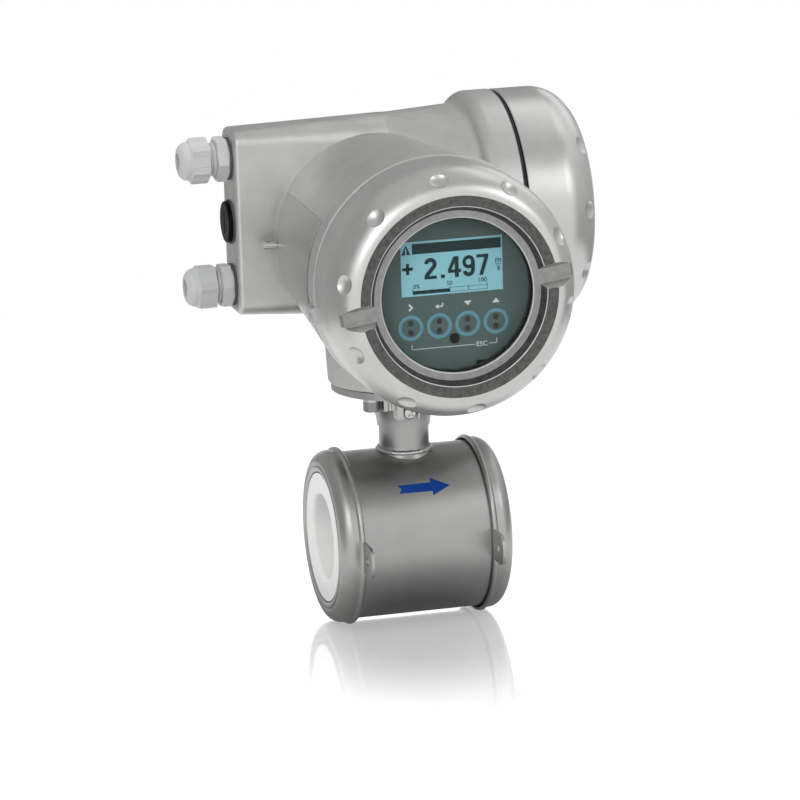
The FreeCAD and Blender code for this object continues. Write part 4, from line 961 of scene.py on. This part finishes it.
@dataclass
class DomeNut:
    """Domed nut of a cable gland: hexagon with ribbed flats and a round dome."""

    name: str
    step: int
    start: float
    turn: float
    flats: float = 24.0
    hexagon: float = 11.0
    length: float = 17.7
    bore_r: float = 10.4
    mouth_r: float = 5.2
    rib: float = 0.28
    rib_pitch: float = 1.1
    rib_from: float = 2.6
    rib_to: float = 6.3

    def outline(self) -> list[Point]:
        """Draw the nut before its flats.

        Returns:
            Its closed outline, in local mm.
        """
        start, wide = self.start, self.flats * 0.58
        hex_end = start + self.hexagon
        end = start + self.length
        dome = self.flats / 2 - 0.5
        mouth = (self.mouth_r + 1.2, end - 0.3)
        points = [(self.bore_r, start), (self.flats * 0.56, start), (self.flats * 0.575, start + 0.4),
                  (wide, start + 1.0)]
        for k in range(1, 9):
            points.append((wide, start + 1.0 + (self.hexagon - 2.2) * k / 8))
        for k in range(1, 11):
            t = k / 10
            points.append((wide + (dome - wide) * t, hex_end - 1.2 + 1.7 * t))
        points += bend((dome, hex_end + 0.5), (dome, mouth[1]), mouth, 14)
        points += eased([mouth, (self.mouth_r + 0.6, end, 0.3), (self.mouth_r, end, 0.3),
                         (self.mouth_r, end - 3.0), (self.bore_r, end - 6.0)])
        return points

    def reach(self, radius: float, height: float, angle: float) -> float:
        """Radius of the nut at an angle, where the flats cut it.

        Args:
            radius: the turned radius.
            height: height along the nut.
            angle: angle round the axis.

        Returns:
            The radius with flats and ribs.
        """
        if radius <= self.flats / 2 - 0.45:
            return radius
        folded = (angle + math.pi / 6) % (math.pi / 3) - math.pi / 6
        flat = self.flats / 2 / math.cos(folded)
        if radius <= flat:
            return radius
        place = abs(self.flats / 2 * math.tan(folded))
        ribbed = self.start + 0.9 < height < self.start + self.hexagon - 1.0
        if ribbed and self.rib_from < place < self.rib_to:
            flat -= self.rib * (0.5 + 0.5 * math.cos(2 * math.pi * place / self.rib_pitch))
        return flat

    def build(self) -> bpy.types.Object:
        """Make the nut and turn it as it is tightened.

        Returns:
            The nut.
        """
        nut = turned_by(revolve(self.outline(), 720, self.reach), self.turn + 30.0)
        made = piece(self.name + "_ribbed_nut", nut, entry_frame(self.step))
        smooth(made, 24.0)
        return mount(made, GLAND, self.name + "_nut", "gland_plastic", self.name + "_dome_nut")


def letters(body: str, box: Sequence[float], heavy: float) -> Solid:
    """Generic lettering fitted to a box.

    Args:
        body: the characters.
        box: left, right, bottom and top side, in local mm.
        heavy: extra stroke weight as a share of the letter size.

    Returns:
        Thin raised letters at height 0 to 0.02 mm.
    """
    curve = bpy.data.curves.new("lettering", "FONT")
    curve.body = body
    curve.offset = heavy
    curve.extrude = 0.01
    curve.resolution_u = 6
    holder = placed("lettering", curve)
    bpy.context.view_layer.update()
    mesh = bpy.data.meshes.new_from_object(holder.evaluated_get(bpy.context.evaluated_depsgraph_get()))
    xs = [v.co.x for v in mesh.vertices]
    ys = [v.co.y for v in mesh.vertices]
    wide, high = max(xs) - min(xs), max(ys) - min(ys)
    left, right, bottom, top = box
    verts = [Vector((left + (v.co.x - min(xs)) / wide * (right - left),
                     bottom + (v.co.y - min(ys)) / high * (top - bottom), 0.01 + v.co.z))
             for v in mesh.vertices]
    faces = [tuple(p.vertices) for p in mesh.polygons]
    bpy.data.objects.remove(holder)
    bpy.data.meshes.remove(mesh)
    return verts, faces


def line_of(path: Sequence[Point], width: float) -> list[Point]:
    """Outline of a stroke of one width along a path.

    Args:
        path: points along the middle of the stroke.
        width: its width.

    Returns:
        The closed outline.
    """
    sides: tuple[list[Point], list[Point]] = ([], [])
    last = len(path) - 1
    for i, spot in enumerate(path):
        ahead = Vector(path[min(i + 1, last)]) - Vector(spot)
        behind = Vector(spot) - Vector(path[max(i - 1, 0)])
        along = (ahead.normalized() + behind.normalized()).normalized()
        turn = max(along.dot(ahead.normalized() if ahead.length else behind.normalized()), 0.5)
        across = Vector((-along.y, along.x)) * (width / 2 / turn)
        sides[0].append((spot[0] + across.x, spot[1] + across.y))
        sides[1].append((spot[0] - across.x, spot[1] - across.y))
    return sides[0] + sides[1][::-1]


def arc(x: float, y: float, wide: float, high: float, first: float, last: float) -> list[Point]:
    """Points of an upright ellipse between two angles in degrees."""
    turns = [math.radians(first + (last - first) * k / 16) for k in range(17)]
    return [(x + wide * math.cos(a), y + high * math.sin(a)) for a in turns]


def circle(x: float, y: float, radius: float) -> list[Point]:
    """Points of a circle."""
    turns = [2 * math.pi * k / 64 for k in range(64)]
    return [(x + radius * math.cos(a), y + radius * math.sin(a)) for a in turns]


def hoop(x: float, y: float, inner: float, outer: float, low: float, high: float) -> Solid:
    """Flat ring between two heights."""
    return moved(revolve([(inner, low), (outer, low), (outer, high), (inner, high)], 96), x, y, 0)


@dataclass
class DisplayPrint:
    """What the screen shows and what is printed on the display cover, in mm from the head's axis."""

    face: float = 113.3
    screen: float = 113.15
    lift: float = 0.03
    key_pitch: float = 16.5
    key_y: float = -18.75
    ring_inner: float = 5.35
    ring_outer: float = 7.3
    symbol_y: float = -7.1
    joining_line: float = -31.3
    line_width: float = 0.35
    reading_low: float = 8.2

    def flat(self, outline: Sequence[Point], base: float) -> Solid:
        """Thin printed shape on a surface."""
        return slab(outline, base, base + self.lift)

    def reading(self) -> Solid:
        """Draw the four bold figures and the point of the reading.

        Returns:
            The figures as one solid.
        """
        at, low = self.screen, self.reading_low
        ring = hoop(0, 0, 0.44, 1.0, at, at + self.lift)
        bowl = [Vector((9.7 + 3.55 * v.x, low + 8.1 + 3.8 * v.y, v.z)) for v in ring[0]]
        tail = [(12.2, low + 8.4), (12.2, low + 4.0)] + arc(9.7, low + 3.6, 2.5, 2.65, -12, -168)
        hook = arc(-12.45, low + 8.4, 2.5, 2.55, 172, -28) + [(-14.6, low + 2.2), (-15.0, low + 1.2)]
        stem = [(1.6, 0.0), (3.95, 0.0), (3.95, 2.6), (5.3, 2.6), (5.3, 4.5), (3.95, 4.5), (3.95, 11.9),
                (1.6, 11.9), (1.6, 4.5), (-2.4, 4.5), (-2.4, 2.6), (1.6, 2.6)]
        slope = [(-2.4, 4.5), (-0.2, 4.5), (1.6, 8.2), (1.6, 11.9), (1.0, 11.9)]
        last = [(14.3, 11.9), (14.3, 10.0), (18.9, 10.0), (15.7, 0.0), (18.0, 0.0), (21.3, 10.2),
                (21.3, 11.9)]
        stem, slope, last = ([(x, low + y) for x, y in shape] for shape in (stem, slope, last))
        shapes = [line_of(hook, 2.35), bar(-16.0, -8.9, low, low + 1.85), bar(-6.5, -4.2, low, low + 2.1),
                  stem, slope, line_of(tail, 2.3), last]
        return together([self.flat(s, at + 0.004 * i) for i, s in enumerate(shapes)] + [(bowl, ring[1])])

    def screen_ink(self) -> Solid:
        """Draw the header bar, icon, sign, reading, unit and bar graph.

        Returns:
            The ink as one solid.
        """
        at = self.screen
        shapes = [bar(*sides) for sides in (
            (-22.9, 28.7, 23.0, 28.9), (-28.8, -22.5, 13.9, 15.7), (-26.55, -24.75, 11.6, 18.0),
            (25.2, 28.7, 13.45, 13.9), (-23.1, -1.5, 0.1, 2.2), (-1.5, 20.3, 2.45, 2.7),
            (-1.5, 20.3, 0.1, 0.35), (20.1, 20.45, 0.1, 3.9), (-23.1, -22.75, 0.1, 3.7),
            (-1.7, -1.3, 0.1, 3.3), (9.25, 9.6, 0.1, 2.9), (-12.15, -11.8, 2.2, 3.0))]
        shapes += [[(-29.1, 22.9), (-28.0, 22.9), (-26.4, 26.7), (-26.4, 28.5)],
                   [(-24.8, 22.9), (-23.7, 22.9), (-26.4, 28.5), (-26.4, 26.7)],
                   [(-28.0, 22.9), (-26.75, 22.9), (-26.75, 25.9)],
                   [(-26.05, 22.9), (-24.8, 22.9), (-26.05, 25.9)]]
        marks = {"m": (25.2, 28.6, 14.6, 17.0), "s": (26.1, 28.0, 10.2, 12.7), "0%": (-22.6, -18.8, 3.4, 5.9),
                 "50": (-3.1, 0.1, 3.9, 6.4), "100": (15.3, 20.2, 4.3, 6.8)}
        solids = [self.flat(s, at) for s in shapes] + [self.reading()]
        return together(solids + [moved(letters(mark, box, 0.016), 0, 0, at) for mark, box in marks.items()])

    def plate_print(self) -> Solid:
        """Draw the key symbols, the line that joins the outer keys, and its label.

        Returns:
            The print as one solid.
        """
        xs = [self.key_pitch * (i - 1.5) + 0.35 for i in range(4)]
        y, low, width = self.symbol_y, self.joining_line, self.line_width
        shapes = [line_of([(xs[0] - 1.1, y + 1.8), (xs[0] + 0.7, y), (xs[0] - 1.1, y - 1.8)], 0.95),
                  bar(xs[1] - 1.4, xs[1] + 2.2, y - 0.9, y - 0.2),
                  bar(xs[1] + 1.5, xs[1] + 2.2, y - 0.9, y + 1.3),
                  [(xs[1] - 2.4, y - 0.55), (xs[1] - 0.6, y - 2.0), (xs[1] - 0.6, y + 0.9)],
                  [(xs[2] - 2.2, y + 1.3), (xs[2], y - 1.3), (xs[2] + 2.2, y + 1.3)],
                  [(xs[3] - 2.2, y - 1.0), (xs[3] + 2.2, y - 1.0), (xs[3], y + 1.6)],
                  bar(-24.5, 12.2, low, low + width), bar(20.4, 25.1, low, low + width),
                  bar(-24.5, -24.5 + width, low, low + 2.9), bar(25.1 - width, 25.1, low, low + 2.9)]
        label = letters("ESC", (13.2, 19.5, low - 1.1, low + 1.7), 0.004)
        return together([self.flat(s, self.face) for s in shapes] + [moved(label, 0, 0, self.face)])

    def build(self) -> list[bpy.types.Object]:
        """Make the ink, the print, the key rings, the dark window below them and the notch's painted shade.

        Returns:
            The four pieces.
        """
        xs = [self.key_pitch * (i - 1.5) + 0.05 for i in range(4)]
        top = self.face + self.lift
        rings = together(hoop(x, self.key_y, self.ring_inner, self.ring_outer, self.face, top) for x in xs)
        # Flat black bar for the notch in the faceplate: painted shade; the round dark window is the part's
        # own colour.
        notch = self.flat(bar(12.8, 20.6, -42.9, -40.3), self.face)
        dark = self.flat(circle(0.5, -26.7, 3.0), self.face)
        rows = (("screen_ink", self.screen_ink(), INK, "lcd"),
                ("key_symbols", self.plate_print(), PRINT, "dark_plastic"),
                ("key_rings", rings, KEY_BLUE, "dark_plastic"),
                ("notch_shade_and_dark_window", together([notch, dark]), PLUG, "dark_plastic"))
        return [mount(piece(name, solid, DISPLAY), finish, "meter", slot)
                for name, solid, finish, slot in rows]


@dataclass
class FlowArrow:
    """Printed flow arrow that follows the round sensor body."""

    tail: float = -13.5
    neck: float = 6.2
    tip: float = 17.4
    middle: float = 34.0
    shaft: float = 2.0
    barb: float = 4.3
    notch: float = 1.6
    radius: float = 49.44
    rows: int = 41

    def build(self) -> bpy.types.Object:
        """Make the arrow from thin rows across it.

        Returns:
            The arrow.
        """
        verts: list[Vector] = []
        faces: list[tuple[int, ...]] = []
        for i in range(self.rows):
            dz = -self.barb + 2 * self.barb * i / (self.rows - 1)
            right = self.tip - (self.tip - self.neck) * abs(dz) / self.barb
            left = self.neck
            if abs(dz) <= self.shaft:
                left = self.tail + self.notch * max(0.0, 1 - abs(dz) / self.shaft * 1.3)
            z = self.middle + dz
            y = -math.sqrt(self.radius ** 2 - z * z)
            verts += [Vector((left * MM, y * MM, z * MM)), Vector((max(right, left) * MM, y * MM, z * MM))]
            if i:
                b = 2 * (i - 1)
                faces.append((b, b + 1, b + 3, b + 2))
        made = piece("flow_arrow", (verts, faces), Matrix.Identity(4))
        return mount(made, ARROW, "meter", "stainless_body")


@dataclass
class WeldBead:
    """Rippled weld bead round the root of the sensor's neck."""

    radius: float = 15.1
    height: float = 50.0
    size: float = 1.7
    flatness: float = 0.85
    ripples: int = 64
    waves: int = 17

    def build(self) -> bpy.types.Object:
        """Sweep a small rippled ring round the neck.

        Returns:
            The bead.
        """
        steps, around = 6 * self.ripples, 14
        verts: list[Vector] = []
        faces: list[tuple[int, ...]] = []
        for i in range(steps):
            a = 2 * math.pi * i / steps
            size = self.size * (1 + 0.04 * math.cos(self.ripples * a) + 0.06 * math.cos(self.waves * a + 1.0))
            for k in range(around):
                b = 2 * math.pi * k / around
                r = self.radius + size * math.cos(b)
                z = self.height + self.flatness * size * math.sin(b)
                verts.append(Vector((r * math.cos(a), r * math.sin(a), z)))
                n, m = (i + 1) % steps, (k + 1) % around
                faces.append((i * around + k, i * around + m, n * around + m, n * around + k))
        made = piece("neck_weld_bead", (verts, faces), Matrix.Scale(MM, 4))
        smooth(made, 60.0)
        return mount(made, WELD_STEEL, "meter", "stainless_body")


@dataclass
class Studio:
    """Camera at the photograph's angle, pale floor, soft lamps and grey panels for the reflections."""

    turn: float = 14.951
    lift: float = 13.608
    roll: float = 1.670
    distance: float = 2.555
    aim: tuple[float, float, float] = (-0.001712, 0.0, 0.078541)
    pixels_per_radian: float = 4348.6
    picture_width: float = 800.0
    sensor_width: float = 36.0
    floor_z: float = -0.0526
    floor_half: float = 12.0
    columns: int = 25

    def camera(self) -> None:
        """Place the camera at the photograph's viewing angle."""
        a, e, roll = (math.radians(v) for v in (self.turn, self.lift, self.roll))
        look = Vector((math.sin(a) * math.cos(e), math.cos(a) * math.cos(e), -math.sin(e)))
        level = Vector((math.cos(a), -math.sin(a), 0.0))
        up = level.cross(look)
        right = level * math.cos(roll) - up * math.sin(roll)
        top = up * math.cos(roll) + level * math.sin(roll)
        place = Vector(self.aim) - look * self.distance
        data = bpy.data.cameras.new("photo_camera")
        data.sensor_width = self.sensor_width
        data.lens = self.pixels_per_radian * self.sensor_width / self.picture_width
        data.clip_end = 50.0
        made = placed("photo_camera", data)
        rows = [[right[i], top[i], -look[i], place[i]] for i in range(3)]
        made.matrix_world = Matrix(rows + [[0, 0, 0, 1]])
        bpy.context.scene.camera = made

    def lamp(self, name: str, place: Sequence[float], size: float, power: float) -> None:
        """Add a square soft lamp that faces the meter.

        Args:
            name: the lamp's name.
            place: where it hangs, in metres.
            size: side of its square.
            power: its power in watts.
        """
        data = bpy.data.lights.new(name, "AREA")
        data.shape = "SQUARE"
        data.size = size
        data.energy = power
        made = placed(name, data)
        made.location = place
        made.rotation_euler = (Vector((0, 0, 0.1)) - Vector(place)).to_track_quat("-Z", "Y").to_euler()
        made.visible_glossy = False

    def panel(self, name: str, turns: Point, reach: Sequence[float], heights: Sequence[float],
              tones: Point) -> None:
        """Add a curved grey studio panel that only reflections show.

        Args:
            name: the panel's name.
            turns: first and last angle round the meter, in degrees from +x.
            reach: distance from the meter's axis at each height, in metres.
            heights: heights of the panel's rows, in metres.
            tones: brightness at its lowest and highest row.
        """
        count = self.columns
        verts: list[tuple[float, float, float]] = []
        faces: list[tuple[int, ...]] = []
        for row, (far, height) in enumerate(zip(reach, heights)):
            for k in range(count):
                a = math.radians(turns[0] + (turns[1] - turns[0]) * k / (count - 1))
                verts.append((far * math.cos(a), far * math.sin(a), height))
            if row:
                b = row * count
                faces += [(b - count + k, b - count + k + 1, b + k + 1, b + k) for k in range(count - 1)]
        mesh = bpy.data.meshes.new(name)
        mesh.from_pydata(verts, [], faces)
        made = placed(name, mesh)
        stuff = node_material(name)
        tree = stuff.node_tree
        parts = node(tree, "SeparateXYZ", {"Vector": object_place(tree)})
        rise = ranged(tree, parts.outputs["Z"], (heights[0], heights[-1]), tones)
        glow = node(tree, "Emission", {"Strength": rise})
        feed(tree.nodes["Material Output"], {"Surface": glow.outputs["Emission"]})
        mesh.materials.append(stuff)
        made.visible_camera = False
        made.visible_diffuse = False
        made.visible_shadow = False
        made.visible_transmission = False
        made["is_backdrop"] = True

    def floor(self) -> None:
        """Add the pale floor, glossy near the meter and matt further out, with a painted contact shadow that
        only reflections see.
        """
        mesh = bpy.data.meshes.new("floor")
        half = self.floor_half
        sheet = [(x, y, self.floor_z) for x, y in bar(-half, half, -half, half)]
        mesh.from_pydata(sheet, [], [(0, 1, 2, 3)])
        made = placed("floor", mesh)
        stuff = node_material("pale_floor")
        tree = stuff.node_tree
        foot = (0.0, 0.0, self.floor_z)
        spot = object_place(tree)
        reach = node(tree, "VectorMath", {0: spot, 1: foot}, "DISTANCE").outputs["Value"]
        narrow = node(tree, "Mapping", {"Vector": spot, "Scale": (1.7, 1.0, 1.0)}).outputs["Vector"]
        oval = node(tree, "VectorMath", {0: narrow, 1: foot}, "DISTANCE").outputs["Value"]
        fade = ranged(tree, oval, (0.08, 0.26), (0.75, 0.0))
        fade.node.interpolation_type = "SMOOTHSTEP"
        matt = feed(tree.nodes["Principled BSDF"], {
            "Base Color": (0.86, 0.86, 0.86, 1.0), "Roughness": 0.9, "Specular IOR Level": 0.0})
        mirror = node(tree, "BsdfGlossy", {"Color": (0.97, 0.97, 0.97, 1.0), "Roughness": 0.07})
        near = mixed(tree, fade, matt.outputs["BSDF"], mirror.outputs["BSDF"])
        seen = self.seen_directly(tree)
        lift = node(tree, "Math", {0: seen, 1: 0.36}, "MULTIPLY")
        glow = node(tree, "Emission", {"Strength": lift.outputs["Value"]})
        pale = node(tree, "AddShader", {0: near, 1: glow.outputs["Emission"]}).outputs["Shader"]
        outer = ranged(tree, reach, (0.35, 0.9), (0.0, 1.0))
        share = node(tree, "Math", {0: outer, 1: seen}, "MULTIPLY").outputs["Value"]
        white = node(tree, "Emission", {"Color": WHITE})
        whole = mixed(tree, share, pale, white.outputs["Emission"])
        # Painted contact shadow: reflections see the floor dark close to the meter, brighter further out.
        under = node(tree, "Emission", {"Strength": ranged(tree, reach, (0.035, 0.17), (0.14, 1.0))})
        glossy = node(tree, "LightPath", {}).outputs["Is Glossy Ray"]
        shown = mixed(tree, glossy, whole, under.outputs["Emission"])
        feed(tree.nodes["Material Output"], {"Surface": shown})
        mesh.materials.append(stuff)
        made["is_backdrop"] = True

    def seen_directly(self, tree: bpy.types.NodeTree) -> Socket:
        """Tell camera, glossy and transmission rays from the rest.

        Args:
            tree: the nodes that need it.

        Returns:
            The output that is 1 for these rays and 0 for others.
        """
        light = node(tree, "LightPath", {}).outputs
        first = node(tree, "Math", {0: light["Is Camera Ray"], 1: light["Is Glossy Ray"]}, "MAXIMUM")
        both = node(tree, "Math", {0: first.outputs["Value"], 1: light["Is Transmission Ray"]}, "MAXIMUM")
        return both.outputs["Value"]

    def world(self) -> None:
        """White surroundings for what is seen, soft grey light for the rest."""
        sky = bpy.data.worlds.new("pale_studio")
        sky.use_nodes = True
        tree = sky.node_tree
        strength = ranged(tree, self.seen_directly(tree), (0.0, 1.0), (0.62, 1.0))
        feed(tree.nodes["Background"], {"Color": WHITE, "Strength": strength})
        bpy.context.scene.world = sky

    def build(self) -> None:
        """Set up the whole studio."""
        scene = bpy.context.scene
        scene.view_settings.view_transform = "Standard"
        self.camera()
        self.floor()
        self.world()
        self.lamp("key_lamp", (-1.1, -1.4, 1.6), 0.9, 16.0)
        self.lamp("fill_lamp", (1.6, -1.2, 0.9), 1.0, 6.0)
        self.lamp("top_lamp", (0.2, 0.4, 1.9), 1.0, 8.0)
        self.panel("left_panel", (99, 212), (0.52, 0.52, 0.46), (-0.05, 0.35, 0.62), (0.44, 0.44))
        self.panel("right_panel", (-38, 47), (0.52, 0.52, 0.46), (-0.05, 0.35, 0.62), (0.36, 0.95))
        self.panel("back_panel", (47, 99), (0.52, 0.52, 0.46), (0.155, 0.35, 0.62), (0.26, 0.50))
        self.panel("roof_panel", (0, 360), (0.46, 0.20, 0.001), (0.62, 0.74, 0.78), (0.56, 0.66))
        self.panel("cap_soft_box", (-5, 60), (0.42, 0.25), (0.59, 0.66), (1.25, 1.25))
        self.panel("rim_soft_box", (24, 60), (0.505, 0.48), (0.34, 0.60), (1.25, 1.25))
        self.panel("soft_box", (-62, -28), (0.75, 0.68), (0.42, 0.72), (2.3, 2.3))
        self.panel("left_soft_box", (-132, -104), (0.80, 0.74), (0.30, 0.72), (2.6, 2.6))


def dress_frame(nodes: dict[str, bpy.types.Object]) -> None:
    """Give every node that stays its finish.

    Args:
        nodes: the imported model's nodes by name.
    """
    for name, target in nodes.items():
        if target.hide_render:
            continue
        finish = NODE_FINISHES.get(name)
        if finish is None:
            raise ValueError("no finish for " + name)
        dress(target, finish)
        target.data.shade_smooth()
        LOG.info("node %s wears %s", name, finish.name)


def corners(box: tuple[Vector, Vector]) -> list[list[float]]:
    """A box as plain lists of numbers."""
    return [list(box[0]), list(box[1])]


def main() -> None:
    """Build every sub-assembly round the frame and report each piece."""
    logging.basicConfig(level=logging.INFO, format="%(name)s: %(message)s")
    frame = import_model()
    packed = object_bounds()
    Studio().build()
    WindowCover().build()
    BlindCap().build()
    EarthingRing(Side.INLET).build()
    EarthingRing(Side.OUTLET).build()
    DomeNut("upper", 1, 12.9, 33.5).build()
    DomeNut("lower", -1, 11.5, 3.8).build()
    DisplayPrint().build()
    FlowArrow().build()
    WeldBead().build()
    dress_frame(frame["nodes"])
    {"cad": corners(packed), "visual": corners(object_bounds())}
    LOG.info("sizes written")


if __name__ == "__main__":
    main()
